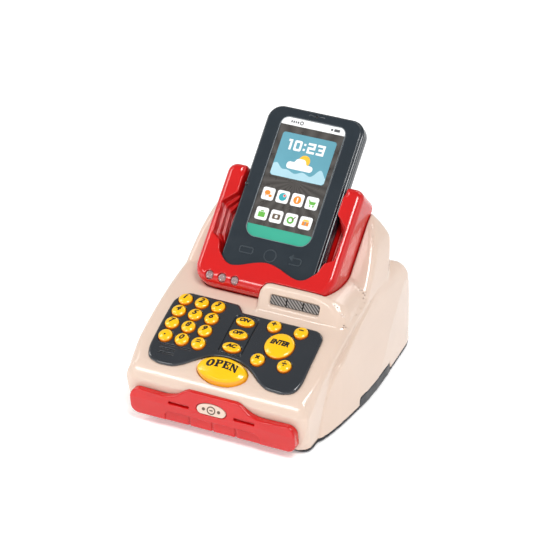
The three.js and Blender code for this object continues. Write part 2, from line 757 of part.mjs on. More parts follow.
// ---------------------------------------------------------------- springs
function makeSpring(y0, y1, x, z, radius, turns, wire) {
  const steps = turns * 10;
  const points = Array.from({ length: steps + 1 }, (_, i) => {
    const a = (i / 10) * 2 * Math.PI;
    const y = y0 + ((y1 - y0) * i) / steps;
    return new THREE.Vector3(x + radius * Math.cos(a), y, z + radius * Math.sin(a));
  });
  const section = new THREE.Shape(ellipse(wire, wire, 5).map(([u, v]) => new THREE.Vector2(u, v)));
  const extrudePath = new THREE.CatmullRomCurve3(points);
  return toSolid(new THREE.ExtrudeGeometry(section, { steps, extrudePath }));
}

// ---------------------------------------------------------------- electronics
function makeBoard() {
  return prism([[-54, -19], [54, -19], [54, 20], [-54, 20]], -10.2, -8.6, deckFrame(0, -105));
}

function makeSpeaker() {
  const frame = deckFrame(-42, -137);
  return prism(ellipse(10, 10, 16), -14, -9, frame).add(prism(ellipse(6, 6, 12), -17, -13, frame));
}

// ---------------------------------------------------------------- phone
const phoneOutline = (margin) => roundedBox2d(
  -PHONE_HALF + margin, PHONE_HALF - margin,
  PHONE_LOW + margin, PHONE_TOP - margin, PHONE_CORNER - margin, 4);

const SCREEN = { half: 25.2, low: -9, high: 83.3, corner: 4 };
const PHONE_BUTTON = { x: -35.9, t: 28, radius: 1.2 };

function makePhoneFront() {
  const rim = prismN(phoneOutline(0), PHONE_SEAM + GAP, PHONE_RIM);
  const plate = prismN(phoneOutline(1.4), PHONE_RIM - 1, PHONE_FACE);
  const hollow = prismN(phoneOutline(4), PHONE_SEAM - 1, PHONE_RIM - 0.6);
  const recessHalf = SCREEN.half + GAP;
  const recess = roundedBox2d(-recessHalf, recessHalf, SCREEN.low - GAP, SCREEN.high + GAP, SCREEN.corner);
  return rim.add(plate).subtract(hollow)
    .subtract(prismN(recess, -0.5, 2))
    .subtract(cylinder(0, 87.3, -4, 2, 1, 10, SLOPE))
    .subtract(cylinder(PHONE_BUTTON.x, PHONE_BUTTON.t, -3.6, 2, PHONE_BUTTON.radius + GAP, 10, SLOPE));
}

function makePhoneBack() {
  const shell = prismN(phoneOutline(0.3), PHONE_BACK, PHONE_SEAM);
  return shell.subtract(prismN(phoneOutline(2.3), PHONE_BACK + 2, PHONE_SEAM + 1));
}

function makeScreenLabel() {
  const outline = roundedBox2d(-SCREEN.half, SCREEN.half, SCREEN.low, SCREEN.high, SCREEN.corner);
  return prismN(outline, -0.2, 0.25);
}

function makePhoneButton() {
  const { x, t, radius } = PHONE_BUTTON;
  return cylinder(x, t, -2.4, 1.3, radius, 10, SLOPE);
}

// ---------------------------------------------------------------- assembly
addNode('upper_housing', makeHousing(), 'cream');
addNode('base_plate', makeBasePlate(), 'charcoal');
addNode('cradle', makeCradle(), 'red');
LAMP_XS.forEach((x, i) => addNode(`lamp_lens_${i + 1}`, makeLamp(x), 'clear'));
addNode('keypad_panel', makeKeypadPanel(), 'charcoal');
addNode('keypad_membrane', makeMembrane(), 'silicone');
addNode('main_circuit_board', makeBoard(), 'board');
addNode('speaker', makeSpeaker(), 'steel');
addNode('display_window', windowBlock(GAP, -1.8, -0.6), 'smoked');
addNode('display_label', windowBlock(GAP, -2.6, -2.1), 'white');
for (const key of roundKeys) addNode(key.name, makeRoundKey(key), 'yellow');
for (const key of ovalKeys) addNode(key.name, makeOvalKey(key), 'yellow');
addNode('open_button', makeOpenButton(), 'yellow');
addNode('latch_lever', makeLatchLever(), 'natural');
addNode('latch_bracket', makeLatchBracket(), 'natural');
const latchPin = cylinder(LATCH_PIVOT_Y, LATCH_PIVOT_Z, -8.8, 8.8, LATCH_PIN_RADIUS, 12, ALONG_X);
addNode('latch_pin', latchPin, 'steel');
addNode('drawer_tray', makeTray(), 'red');
addNode('drawer_fascia', makeFascia(), 'red');
addNode('drawer_badge', badgePlate(0, -0.1), 'cream');
addNode('drawer_spring', makeSpring(TRAY_REAR + 1.2, SPRING_END - 1, 0, 12, 4, 5, 0.6), 'steel');
addNode('battery_door', makeBatteryDoor(), 'charcoal');
addNode('battery_door_screw', makeDoorScrew(), 'steel');
[-8.2, 8.2].forEach((offset, i) => addNode(`battery_${i + 1}`, makeBattery(BATTERY_Y + offset), 'cell'));
[-1, 1].forEach((side, i) => addNode(`battery_contact_${i + 1}`, makeContact(side), 'steel'));
SCREW_SPOTS.forEach(([x, y], i) => addNode(`housing_screw_${i + 1}`, makeHousingScrew(x, y), 'steel'));
FOOT_SPOTS.forEach(([x, y], i) => addNode(`foot_${i + 1}`, makeFoot(x, y), 'rubber'));
addNode('phone_front_shell', makePhoneFront(), 'phone');
addNode('phone_back_shell', makePhoneBack(), 'phone');
addNode('phone_screen_label', makeScreenLabel(), 'white');
addNode('phone_side_button', makePhoneButton(), 'charcoal');

export default register;
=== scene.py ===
"""Toy cash register with a toy phone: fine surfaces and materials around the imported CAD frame.

Shapes are worked out in millimetres, in the row frame, and turned into metres when a mesh is made.
"""
from functools import reduce
from math import copysign, cos, degrees, exp, hypot, pi, radians, sin, sqrt, tan

import bmesh
import bpy
import numpy as np
from mathutils import Matrix, Vector


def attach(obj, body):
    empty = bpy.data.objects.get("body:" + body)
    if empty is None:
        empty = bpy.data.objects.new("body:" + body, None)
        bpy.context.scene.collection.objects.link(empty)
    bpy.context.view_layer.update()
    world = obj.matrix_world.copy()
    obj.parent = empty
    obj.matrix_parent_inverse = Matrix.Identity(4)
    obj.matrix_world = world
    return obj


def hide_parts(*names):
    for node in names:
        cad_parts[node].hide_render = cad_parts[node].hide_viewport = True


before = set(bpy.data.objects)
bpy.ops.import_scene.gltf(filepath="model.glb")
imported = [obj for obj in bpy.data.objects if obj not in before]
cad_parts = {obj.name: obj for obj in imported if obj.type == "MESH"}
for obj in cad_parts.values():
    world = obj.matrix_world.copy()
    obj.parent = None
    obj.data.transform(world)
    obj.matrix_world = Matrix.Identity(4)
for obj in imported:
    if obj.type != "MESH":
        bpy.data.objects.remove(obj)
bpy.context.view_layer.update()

MM = 0.001
SOFT = 500.0  # a corner radius larger than any edge: the outline becomes one smooth curve


# ---------------- objects and shader nodes
def add_object(name, data):
    item = bpy.data.objects.new(name, data)
    bpy.context.scene.collection.objects.link(item)
    return item


def set_inputs(tree, node, inputs):
    """Each input gets a number or colour, or a link from another node's output."""
    for name, value in inputs.items():
        if isinstance(value, bpy.types.NodeSocket):
            tree.links.new(value, node.inputs[name])
        else:
            node.inputs[name].default_value = value


def add_node(tree, kind, inputs=None, **settings):
    node = tree.nodes.new("ShaderNode" + kind)
    for name, value in settings.items():
        setattr(node, name, value)
    set_inputs(tree, node, inputs or {})
    return node


def new_material(name):
    material = bpy.data.materials.new(name)
    material.use_nodes = True
    tree = material.node_tree
    return material, tree, tree.nodes["Principled BSDF"]


# ---------------- camera, light and floor
HORIZON_LIGHT, ZENITH_LIGHT = 0.7, 0.25
AREA_LIGHTS = [  # name, place, size, power
    ("key", (0.62, -0.66, 1.5), (0.5, 0.5), 15),
    ("right_softbox", (1.5, 0.1, 0.7), (0.6, 1.0), 1.2),
    ("left_softbox", (-1.15, -0.35, 0.95), (0.35, 0.8), 5),
    ("front_fill", (-0.6, -1.35, 0.85), (0.7, 0.2), 5.5),
    ("back_strip", (0.2, 1.2, 1.2), (1.2, 0.3), 5)]
LIGHT_AIM = Vector((0, 0, 0.07))
FLOOR_HALF = 4


def point_at(item, place, direction):
    item.location = place
    item.rotation_mode = "QUATERNION"
    item.rotation_quaternion = direction.to_track_quat("-Z", "Y")


def make_camera():
    aim, distance = Vector((0, 0.016, 0.072)), 2.016
    azimuth, elevation = radians(25.5), radians(30)
    level = cos(elevation)
    back = Vector((sin(azimuth) * level, -cos(azimuth) * level, sin(elevation)))
    data = bpy.data.cameras.new("camera")
    data.lens, data.sensor_width = 180, 36
    camera = add_object("camera", data)
    point_at(camera, aim + back * distance, -back)
    bpy.context.scene.camera = camera


def make_studio():
    world = bpy.data.worlds.new("studio")
    world.use_nodes = True
    tree = world.node_tree
    axes = add_node(tree, "SeparateXYZ", {"Vector": add_node(tree, "TexCoord").outputs["Generated"]})
    fade = add_node(tree, "MapRange", {"Value": axes.outputs["Z"], "To Min": HORIZON_LIGHT, "To Max": ZENITH_LIGHT})
    set_inputs(tree, tree.nodes["Background"], {"Color": (1, 1, 1, 1), "Strength": fade.outputs["Result"]})
    bpy.context.scene.world = world
    bpy.context.scene.view_settings.view_transform = "Standard"
    for name, place, size, power in AREA_LIGHTS:
        data = bpy.data.lights.new(name, "AREA")
        data.shape, data.size, data.size_y, data.energy = "RECTANGLE", *size, power
        point_at(add_object(name, data), place, LIGHT_AIM - Vector(place))
    mesh = bpy.data.meshes.new("floor")
    h = FLOOR_HALF
    mesh.from_pydata([(-h, -h, 0), (h, -h, 0), (h, h, 0), (-h, h, 0)], [], [(0, 1, 2, 3)])
    material, tree, shader = new_material("pale_floor")
    set_inputs(tree, shader, {"Base Color": (0.97, 0.97, 0.97, 1), "Roughness": 0.6,
                              "Emission Color": (1, 1, 1, 1), "Emission Strength": 0.25})
    mesh.materials.append(material)
    add_object("floor", mesh)


make_camera()
make_studio()


# ---------------- frames on the object
DECK_RADIUS, DECK_Y, DECK_Z = 280.0, 56.2, -199.1
TILT = radians(44.5)
SLOPE_Y, SLOPE_Z = 15.7, 113.5


def basis(x_axis, y_axis, z_axis, origin):
    return Matrix([[*row, o] for row, o in zip(zip(x_axis, y_axis, z_axis), origin)] + [[0, 0, 0, 1]])


def deck_frame(x, s):
    """Local x across, y back along the deck, z out of it."""
    a = s / DECK_RADIUS
    out = (0, sin(a), cos(a))
    origin = (x, DECK_Y + DECK_RADIUS * out[1], DECK_Z + DECK_RADIUS * out[2])
    return basis((1, 0, 0), (0, cos(a), -sin(a)), out, origin)


def leaning_frame(angle, x, y, z):
    """Local x across, y up a face that leans back from upright by 90 degrees less the angle, z out of it."""
    c, s = cos(angle), sin(angle)
    return basis((1, 0, 0), (0, c, s), (0, -s, c), (x, y, z))


SLOPE = leaning_frame(TILT, 0, SLOPE_Y, SLOPE_Z)
HUMP_ANGLE = radians(65.3)
HUMP_TOP, HUMP_LEFT, HUMP_RIGHT = 88.0, 0.5, 70.5
HUMP_FOOT_Y, HUMP_FOOT_Z = HUMP_FOOT = (-26.4, 67.5)
WINDOW_X, WINDOW_Z, WINDOW_HALF_X, WINDOW_HALF_Y = 29.0, 78.0, 19.35, 4.15
WINDOW = leaning_frame(
    HUMP_ANGLE, WINDOW_X, HUMP_FOOT_Y + (WINDOW_Z - HUMP_FOOT_Z) / tan(HUMP_ANGLE), WINDOW_Z)
BADGE = leaning_frame(radians(78), 0, -95.3, 25.6)


def deck_coordinates(y, z):
    """Arc length back from the crown of the deck, and height over the deck."""
    dy, dz = y - DECK_Y, z - DECK_Z
    return DECK_RADIUS * np.arctan2(dy, dz), np.hypot(dy, dz) - DECK_RADIUS


def local(matrix, x, y, z):
    inverse = np.array(matrix.inverted())
    return [row[0] * x + row[1] * y + row[2] * z + row[3] for row in inverse[:3]]


def slope_coordinates(y, z):
    _, t, n = local(SLOPE, 0, y, z)
    return t, n


def slope_point(t, n):
    """Row-frame y and z of a point t up the slope and n out of it."""
    c, s = cos(TILT), sin(TILT)
    return SLOPE_Y + t * c - n * s, SLOPE_Z + t * s + n * c


def out_of(matrix):
    """Maps points and normals from a local frame to the row frame."""
    turn, origin = np.array(matrix)[:3, :3].T, np.array(matrix)[:3, 3]
    return lambda points, normals: (points @ turn + origin, normals @ turn)


def deck_point(s, h=0.0):
    a = s / DECK_RADIUS
    return DECK_Y + (DECK_RADIUS + h) * sin(a), DECK_Z + (DECK_RADIUS + h) * cos(a)


# ---------------- outlines
def rounded(corners, closed=True, turn=6.0):
    """Points of an outline whose corners, given as (x, y, radius), are arcs that touch both edges."""
    points = []
    count = len(corners)
    for i, corner in enumerate(corners):
        here = Vector(corner[:2])
        radius = corner[2] if len(corner) > 2 else 0
        before, after = Vector(corners[i - 1][:2]) - here, Vector(corners[(i + 1) % count][:2]) - here
        at_end = not closed and i in (0, count - 1)
        angle = 0 if at_end else pi - before.angle(after)
        if radius == 0 or at_end or angle < 0.002:
            points.append(tuple(here))
            continue
        reach = min(radius * tan(angle / 2), 0.49 * before.length, 0.49 * after.length)
        radius = reach / tan(angle / 2)
        start = here + before.normalized() * reach
        centre = here + (before.normalized() + after.normalized()).normalized() * (radius / cos(angle / 2))
        spoke = start - centre
        side = 1 if before.x * after.y - before.y * after.x < 0 else -1
        steps = max(2, round(degrees(angle) / turn))
        for k in range(steps + 1):
            a = side * angle * k / steps
            c, s = cos(a), sin(a)
            points.append((centre.x + c * spoke.x - s * spoke.y, centre.y + s * spoke.x + c * spoke.y))
    return points


def soft(*points):
    return [(*point, SOFT) for point in points]


def box2d(x0, x1, y0, y1, radius=0.0):
    return rounded([(x0, y0, radius), (x1, y0, radius), (x1, y1, radius), (x0, y1, radius)], turn=15)


def ellipse(cx, cy, rx, ry, steps=40):
    turns = (2 * pi * i / steps for i in range(steps))
    return [(cx + rx * cos(a), cy + ry * sin(a)) for a in turns]


def polygon_distance(points, u, v):
    """Signed distance to a closed polygon, negative inside."""
    best = np.full(np.broadcast(u, v).shape, 1e9)
    inside = np.zeros(best.shape, bool)
    for (x0, y0), (x1, y1) in zip(points, np.roll(points, -1, 0)):
        dx, dy = x1 - x0, y1 - y0
        along = np.clip(((u - x0) * dx + (v - y0) * dy) / max(dx * dx + dy * dy, 1e-12), 0, 1)
        best = np.minimum(best, (u - x0 - along * dx) ** 2 + (v - y0 - along * dy) ** 2)
        if y0 != y1:
            inside ^= ((y0 > v) != (y1 > v)) & (u < x0 + (v - y0) * dx / dy)
    return np.where(inside, -1, 1) * np.sqrt(best)


def cubic_weights(f):
    return (-0.5 * f + f * f - 0.5 * f**3, 1 - 2.5 * f * f + 1.5 * f**3,
            0.5 * f + 2 * f * f - 1.5 * f**3, -0.5 * f * f + 0.5 * f**3)


class Outline:
    """Signed distance to a closed outline, kept on a grid and read back with cubic interpolation."""

    def __init__(self, points, cell=0.8, margin=8.0):
        points = np.array(points, float)
        self.cell, self.low = cell, points.min(0) - margin
        count = np.ceil((points.max(0) + margin - self.low) / cell).astype(int) + 1
        u = self.low[0] + cell * np.arange(count[0])
        v = self.low[1] + cell * np.arange(count[1])
        self.grid = polygon_distance(points, u[:, None], v[None, :])

    def __call__(self, u, v):
        a, b = np.broadcast_arrays((u - self.low[0]) / self.cell, (v - self.low[1]) / self.cell)
        near_a = np.clip(a, 1, self.grid.shape[0] - 2.001)
        near_b = np.clip(b, 1, self.grid.shape[1] - 2.001)
        i, j = near_a.astype(int), near_b.astype(int)
        weights_a, weights_b = cubic_weights(near_a - i), cubic_weights(near_b - j)
        total = 0.0
        for k, wa in enumerate(weights_a):
            for m, wb in enumerate(weights_b):
                total = total + wa * wb * self.grid[i + k - 1, j + m - 1]
        return total + self.cell * np.hypot(a - near_a, b - near_b)


def outline(corners, cell=0.8):
    return Outline(rounded(corners), cell)


# ---------------- solids as signed distances
def both(a, b, radius=0.0):
    """The part that two solids share, with the new edge rounded."""
    u, v = np.maximum(radius + a, 0), np.maximum(radius + b, 0)
    return np.minimum(-radius, np.maximum(a, b)) + np.hypot(u, v)


def join(a, b, radius=0.0):
    """Two solids together, with the inner corner filleted."""
    u, v = np.maximum(radius - a, 0), np.maximum(radius - b, 0)
    return np.maximum(radius, np.minimum(a, b)) - np.hypot(u, v)


def cut(a, b, radius=0.0):
    return both(a, -b, radius)


def meet(*shapes):
    """The part that solids share, with sharp edges."""
    return reduce(np.maximum, shapes)


def unite(*shapes):
    return reduce(np.minimum, shapes)


def cut_all(shape, *cuts):
    """Takes each (solid, edge radius) away from the shape."""
    for solid, radius in cuts:
        shape = cut(shape, solid, radius)
    return shape


def between(value, low, high):
    """Signed distance to the slab from low to high."""
    return np.abs(value - (low + high) / 2) - (high - low) / 2


def block(x, y, z, x_range, y_range, z_range, radius=0.0):
    sides = [between(value, *span) + radius for value, span in ((x, x_range), (y, y_range), (z, z_range))]
    outside = np.sqrt(sum(np.maximum(side, 0) ** 2 for side in sides))
    return outside + np.minimum(meet(*sides), 0) - radius


def gradient(shape, p):
    """Direction in which the signed distance grows, from four samples around each point."""
    total = np.zeros_like(p)
    for corner in ((1, -1, -1), (-1, -1, 1), (-1, 1, -1), (1, 1, 1)):
        corner = np.array(corner, float)
        q = p + 0.06 * corner
        total += np.asarray(shape(q[:, 0], q[:, 1], q[:, 2]))[:, None] * corner
    return total / (4 * 0.06)


def settle(shape, p, reach):
    """Moves points along the gradient onto the surface, by at most reach."""
    slope = gradient(shape, p)
    steep = np.maximum((slope**2).sum(1), 0.05)
    move = np.asarray(shape(p[:, 0], p[:, 1], p[:, 2])) / steep
    return p - slope * np.clip(move, -reach, reach)[:, None]


CELL_CORNERS = np.array([(i, j, k) for i in (0, 1) for j in (0, 1) for k in (0, 1)])
CELL_EDGES = [(a, b) for a in range(8) for b in range(a + 1, 8)
              if np.abs(CELL_CORNERS[a] - CELL_CORNERS[b]).sum() == 1]


def surface_net(shape, low, high, step):
    """Vertices and quads of the zero surface: one vertex for each grid cell that the surface crosses."""
    axes = [np.arange(lo - step, hi + 2 * step, step) for lo, hi in zip(low, high)]
    size = tuple(len(axis) for axis in axes)
    value = np.broadcast_to(shape(*np.meshgrid(*axes, indexing="ij", sparse=True)), size).astype(np.float32)
    inside = value < 0
    counts = np.zeros([n - 1 for n in size], np.int8)
    for i, j, k in CELL_CORNERS:
        counts += inside[i:size[0] - 1 + i, j:size[1] - 1 + j, k:size[2] - 1 + k]
    cells = np.argwhere((counts > 0) & (counts < 8))
    corners = cells[:, None, :] + CELL_CORNERS[None]
    at = value[corners[..., 0], corners[..., 1], corners[..., 2]].astype(float)
    total, found = np.zeros((len(cells), 3)), np.zeros(len(cells))
    for a, b in CELL_EDGES:
        crosses = (at[:, a] < 0) != (at[:, b] < 0)
        share = np.where(crosses, at[:, a] / np.where(crosses, at[:, a] - at[:, b], 1), 0)
        point = CELL_CORNERS[a] + share[:, None] * (CELL_CORNERS[b] - CELL_CORNERS[a])
        total += point * crosses[:, None]
        found += crosses
    origin = np.array([axis[0] for axis in axes])
    points = origin + step * (cells + total / found[:, None])
    number = np.full([n - 1 for n in size], -1)
    number[cells[:, 0], cells[:, 1], cells[:, 2]] = np.arange(len(cells))
    quads = []
    for axis in range(3):
        first, second = (axis + 1) % 3, (axis + 2) % 3
        near = [slice(None)] * 3
        far = [slice(None)] * 3
        near[axis], far[axis] = slice(0, -1), slice(1, None)
        starts, ends = inside[tuple(near)], inside[tuple(far)]
        edge = np.argwhere(starts != ends)
        keep = (edge[:, first] > 0) & (edge[:, second] > 0)
        keep &= (edge[:, first] < size[first] - 1) & (edge[:, second] < size[second] - 1)
        edge = edge[keep]
        ring = []
        for back_first, back_second in ((0, 0), (1, 0), (1, 1), (0, 1)):
            cell = edge.copy()
            cell[:, first] -= back_first
            cell[:, second] -= back_second
            ring.append(number[cell[:, 0], cell[:, 1], cell[:, 2]])
        ring = np.stack(ring, 1)
        leaving = starts[tuple(edge.T)]
        quads.append(np.where(leaving[:, None], ring, ring[:, ::-1]))
    return points, np.concatenate(quads)


def gather(index, values, count):
    """Sums the rows of values that have the same index."""
    return np.stack([np.bincount(index, column, count) for column in values.T], 1)


def relax(points, quads):
    """Each vertex goes to the middle of its neighbours, which evens out the quads."""
    a, b = quads.ravel(), np.roll(quads, 1, 1).ravel()
    ends, others = np.concatenate([a, b]), np.concatenate([b, a])
    count = np.bincount(ends, minlength=len(points))
    return 0.5 * points + 0.5 * gather(ends, points[others], len(points)) / np.maximum(count, 1)[:, None]


def mesh_object(name, points, faces, normals=None):
    """points in millimetres, faces as an array with one row per face or as lists."""
    mesh = bpy.data.meshes.new(name)
    mesh.from_pydata((np.asarray(points) * MM).tolist(), [], [list(map(int, f)) for f in faces])
    mesh.polygons.foreach_set("use_smooth", [True] * len(mesh.polygons))
    if normals is not None:
        mesh.normals_split_custom_set_from_vertices(normals.tolist())
    return add_object(name, mesh)


def unit(vectors):
    return vectors / np.maximum(np.linalg.norm(vectors, axis=1), 1e-9)[:, None]


def vertex_normals(points, quads):
    """Normals of the faces round each vertex, weighted by area."""
    corners = points[quads]
    facing = np.cross(corners[:, 2] - corners[:, 0], corners[:, 3] - corners[:, 1])
    return unit(gather(quads.ravel(), np.repeat(facing, 4, axis=0), len(points)))


def shading_normals(shape, points, quads):
    """The exact normals, and on sharp edges, where they jump from side to side, the average of the faces."""
    exact, average = unit(gradient(shape, points)), vertex_normals(points, quads)
    agree = (exact * average).sum(1)
    share = np.clip((agree - 0.8) / 0.15, 0, 1)[:, None]
    return unit(share * exact + (1 - share) * average)


def moulded(name, shape, low, high, step, bend=None):
    """A mesh of a signed distance, with its true normals. bend maps points and normals to the row frame."""
    points, quads = surface_net(shape, low, high, step)
    points = settle(shape, points, step)
    for _ in range(2):
        points = settle(shape, relax(points, quads), step)
    points = settle(shape, points, step)
    normals = shading_normals(shape, points, quads)
    if bend:
        points, normals = bend(points, normals)
    return mesh_object(name, points, quads, normals)


def finish_piece(piece, body, material, slot, *nodes):
    piece.data.materials.append(material)
    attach(piece, body)
    if nodes:
        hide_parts(*nodes)
    return piece


# ---------------- materials
def object_place(tree):
    return add_node(tree, "TexCoord").outputs["Object"]


def noise(tree, scale, low, high, detail=2.0):
    """Noise with its middle part mapped to the range from low to high."""
    source = add_node(tree, "TexNoise", {"Vector": object_place(tree), "Scale": scale, "Detail": detail})
    span = {"From Min": 0.3, "From Max": 0.7, "To Min": low, "To Max": high}
    return add_node(tree, "MapRange", {"Value": source.outputs["Fac"], **span}).outputs["Result"]


def mix_colours(tree, factor, first, second):
    inputs = {"Factor": factor, "A": (*first, 1), "B": (*second, 1)}
    return add_node(tree, "Mix", inputs, data_type="RGBA").outputs["Result"]


def moulded_finish(tree, shader, colour, roughness, coat, grain=0.02, grain_scale=260.0):
    """Uneven gloss from handling, and the mould's fine texture."""
    texture = add_node(tree, "TexNoise", {"Vector": object_place(tree), "Scale": grain_scale, "Detail": 0.0})
    bump = add_node(tree, "Bump", {"Height": texture.outputs["Fac"], "Strength": grain, "Distance": 0.0004})
    set_inputs(tree, shader, {
        "Base Color": colour, "Roughness": noise(tree, 90.0, roughness * 0.85, roughness * 1.2, 1.0),
        "Normal": bump.outputs["Normal"], "Coat Weight": coat, "Coat Roughness": 0.08})


def plastic(name, colour, roughness=0.25, shade=0.04, grain=0.02, grain_scale=260.0, coat=0.0, subsurface=0.0):
    """Moulded plastic with a slow drift of colour."""
    material, tree, shader = new_material(name)
    darker = [c * (1 - shade) for c in colour]
    lighter = [min(c * (1 + shade), 1) for c in colour]
    drift = mix_colours(tree, noise(tree, 35.0, 0, 1), darker, lighter)
    moulded_finish(tree, shader, drift, roughness, coat, grain, grain_scale)
    if subsurface:
        set_inputs(tree, shader, {"Subsurface Weight": subsurface, "Subsurface Radius": (0.004, 0.003, 0.002),
                                  "Subsurface Scale": 1.0})
    return material


def shade_painted_plastic(name, top, flank, roughness=0.2):
    """Plastic with painted shade: its colour goes from the top colour to a deeper flank colour where the surface
    faces down.
    """
    material, tree, shader = new_material(name)
    # painted shade mask: the flank colour where the normal points down, the top colour where it points up
    axes = add_node(tree, "SeparateXYZ", {"Vector": add_node(tree, "NewGeometry").outputs["Normal"]})
    fade = add_node(tree, "MapRange", {"Value": axes.outputs["Z"], "From Min": 0.1, "From Max": 0.62})
    moulded_finish(tree, shader, mix_colours(tree, fade.outputs["Result"], flank, top), roughness, 0.3)
    return material


def metal(name, colour, roughness=0.3):
    material, tree, shader = new_material(name)
    darker = [c * 0.85 for c in colour]
    set_inputs(tree, shader, {
        "Metallic": 1.0, "Roughness": noise(tree, 700.0, roughness * 0.7, roughness * 1.4, 4.0),
        "Base Color": mix_colours(tree, noise(tree, 700.0, 0, 1, 4.0), darker, colour)})
    return material


def ink(name, colour, roughness=0.4):
    return plastic(name, colour, roughness, shade=0.06)


def printed(name, pattern, dark, light, specular=0.5):
    """A two-colour print. pattern makes its node in a tree and returns the output that mixes the colours."""
    material, tree, shader = new_material(name)
    set_inputs(tree, shader, {"Base Color": mix_colours(tree, pattern(tree), dark, light),
                              "Roughness": noise(tree, 150.0, 0.25, 0.35), "Specular IOR Level": specular})
    return material


def hatch(tree, angle=radians(50), pitch=0.0055):
    """Fine diagonal lines."""
    turn = add_node(tree, "Mapping", {"Vector": object_place(tree), "Rotation": (0, angle, 0)})
    wave = add_node(tree, "TexWave", {"Vector": turn.outputs["Vector"], "Scale": 1 / pitch, "Distortion": 0.0})
    return wave.outputs["Fac"]


def sunburst(tree, rays=44.0, centre_t=37):
    """Rays round a point of the phone's face."""
    centre = tuple(value * MM for value in SLOPE @ Vector((0, centre_t, 0)))
    turn = add_node(tree, "Mapping", {"Vector": object_place(tree), "Location": centre, "Rotation": (TILT, 0, 0)},
                    vector_type="TEXTURE")
    radial = add_node(tree, "TexGradient", {"Vector": turn.outputs["Vector"]}, gradient_type="RADIAL")
    scaled = add_node(tree, "Math", {0: radial.outputs["Fac"], 1: rays}, operation="MULTIPLY")
    return add_node(tree, "Math", {0: scaled.outputs["Value"], 1: 1.0}, operation="PINGPONG").outputs["Value"]


def lens_plastic(name, colour):
    material, tree, shader = new_material(name)
    darker = [c * 0.92 for c in colour]
    set_inputs(tree, shader, {"Base Color": mix_colours(tree, noise(tree, 400.0, 0, 1), darker, colour),
                              "Roughness": 0.06, "Transmission Weight": 0.75, "IOR": 1.45})
    return material


CREAM = plastic("cream_gloss", (0.715, 0.555, 0.455), 0.17, shade=0.012, coat=0.25, subsurface=0.05)
RED = plastic("red_gloss", (0.59, 0.006, 0.006), 0.16, shade=0.04, coat=0.25)
CHARCOAL = plastic("charcoal_satin", (0.021, 0.025, 0.031), 0.18, shade=0.06, coat=0.6)
PHONE = plastic("phone_satin", (0.015, 0.023, 0.031), 0.22, shade=0.06, coat=0.2)
# A lighter copy of the phone's plastic for the raised key signs: painted highlight.
PHONE_MARK_HIGHLIGHT = plastic("phone_mark_highlight", (0.034, 0.046, 0.056), 0.3)
BASE = plastic("base_textured", (0.024, 0.027, 0.034), 0.45, shade=0.08, grain=0.1, grain_scale=900.0)
# The flank colours of these two are painted shade on the sides and undersides of the caps.
YELLOW = shade_painted_plastic("yellow_gloss", (0.95, 0.53, 0.002), (0.86, 0.20, 0.0))
OPEN_YELLOW = shade_painted_plastic("open_gloss", (0.95, 0.53, 0.002), (0.90, 0.36, 0.0))
NATURAL = plastic("natural_satin", (0.76, 0.74, 0.67), 0.45)
LABEL = ink("printed_white", (0.86, 0.86, 0.84))
BLACK_INK = ink("black_ink", (0.008, 0.008, 0.009), 0.35)
SILICONE = plastic("silicone_matt", (0.5, 0.52, 0.56), 0.65, grain=0.05)
BOARD = plastic("board_green", (0.02, 0.13, 0.05), 0.4, shade=0.15)
STEEL = metal("plated_steel", (0.72, 0.73, 0.75))
RUBBER = plastic("foot_rubber", (0.018, 0.018, 0.018), 0.8, grain=0.1, grain_scale=900.0)
BATTERY = plastic("battery_wrap", (0.02, 0.10, 0.36), 0.25)
LENS = lens_plastic("lens_clear", (0.95, 0.72, 0.72))


# ---------------- housing
WALL = 2.4
KEY_GAP = 0.35
CRADLE_LOW, CRADLE_TOP, CRADLE_BOTTOM, POCKET_FLOOR = -50, 3, -24, -13.8
HOUSING_BOTTOM = 3.1
FAR = 30.0  # half outlines reach this far past the middle plane

deck_line = [(*deck_point(s), 0) for s in np.linspace(-161, -50, 56)]
BODY_SIDE = outline([
    (88, -20), (-85.5, -20), (-85.5, 3, 4), (-88.6, 7, 6), (-92.2, 17, 12), (-97, 34),
    *deck_line[:-1], (*deck_point(-50), 9), (53.5, 122.6, 2.5), (57, 121, 3), *soft((59, 115), (63.5, 103),
    (68, 88), (76, 60), (84, 25))])
BODY_FRONT = outline([
    (-FAR, -20), (68.5, -20), *soft((68.7, 3), (70.4, 20), (72, 45), (72, 70), (71, 82), (69, 94),
    (65.5, 105), (60.5, 114), (54.8, 120)), (48, 130), (-FAR, 130)])
BODY_PLAN = outline([
    (-FAR, -91.8), (71.6, -91.8, 10), (74.5, -70, 20), (74.5, 16, 60), *soft((73, 38), (69.3, 55), (61.4, 69),
    (48, 80.5), (32, 87.5), (0, 90)), (-FAR, 90)])
FENDER_SIDE = outline([
    (95.5, -20), (-66.8, -20), *soft((-66.6, 3), (-65.5, 16.8), (-62, 32), (-54, 44), (-42, 52.5), (-25, 60),
    (-1.5, 69), (27, 76.5), (52, 79.8)), (64, 79.8, 8),
    *soft((72, 76), (78, 67), (83, 54), (88.5, 34), (93, 12))])
FENDER_FRONT = outline([
    (-FAR, -20), (78.7, -20), *soft((78.6, 3), (78.2, 14), (76.8, 40), (74.6, 62), (73.2, 71), (70.5, 76.5)),
    (65, 85), (-FAR, 85)])
FENDER_PLAN = outline([
    (-FAR, -72), (66, -72), *soft((70.4, -66), (72.8, -57.5), (75.5, -41), (77.8, -15), (78.7, 4), (78.2, 24),
    (76.4, 48), (74, 80), (71.5, 89), (65, 95), (56, 96.4)), (-FAR, 96.4)])

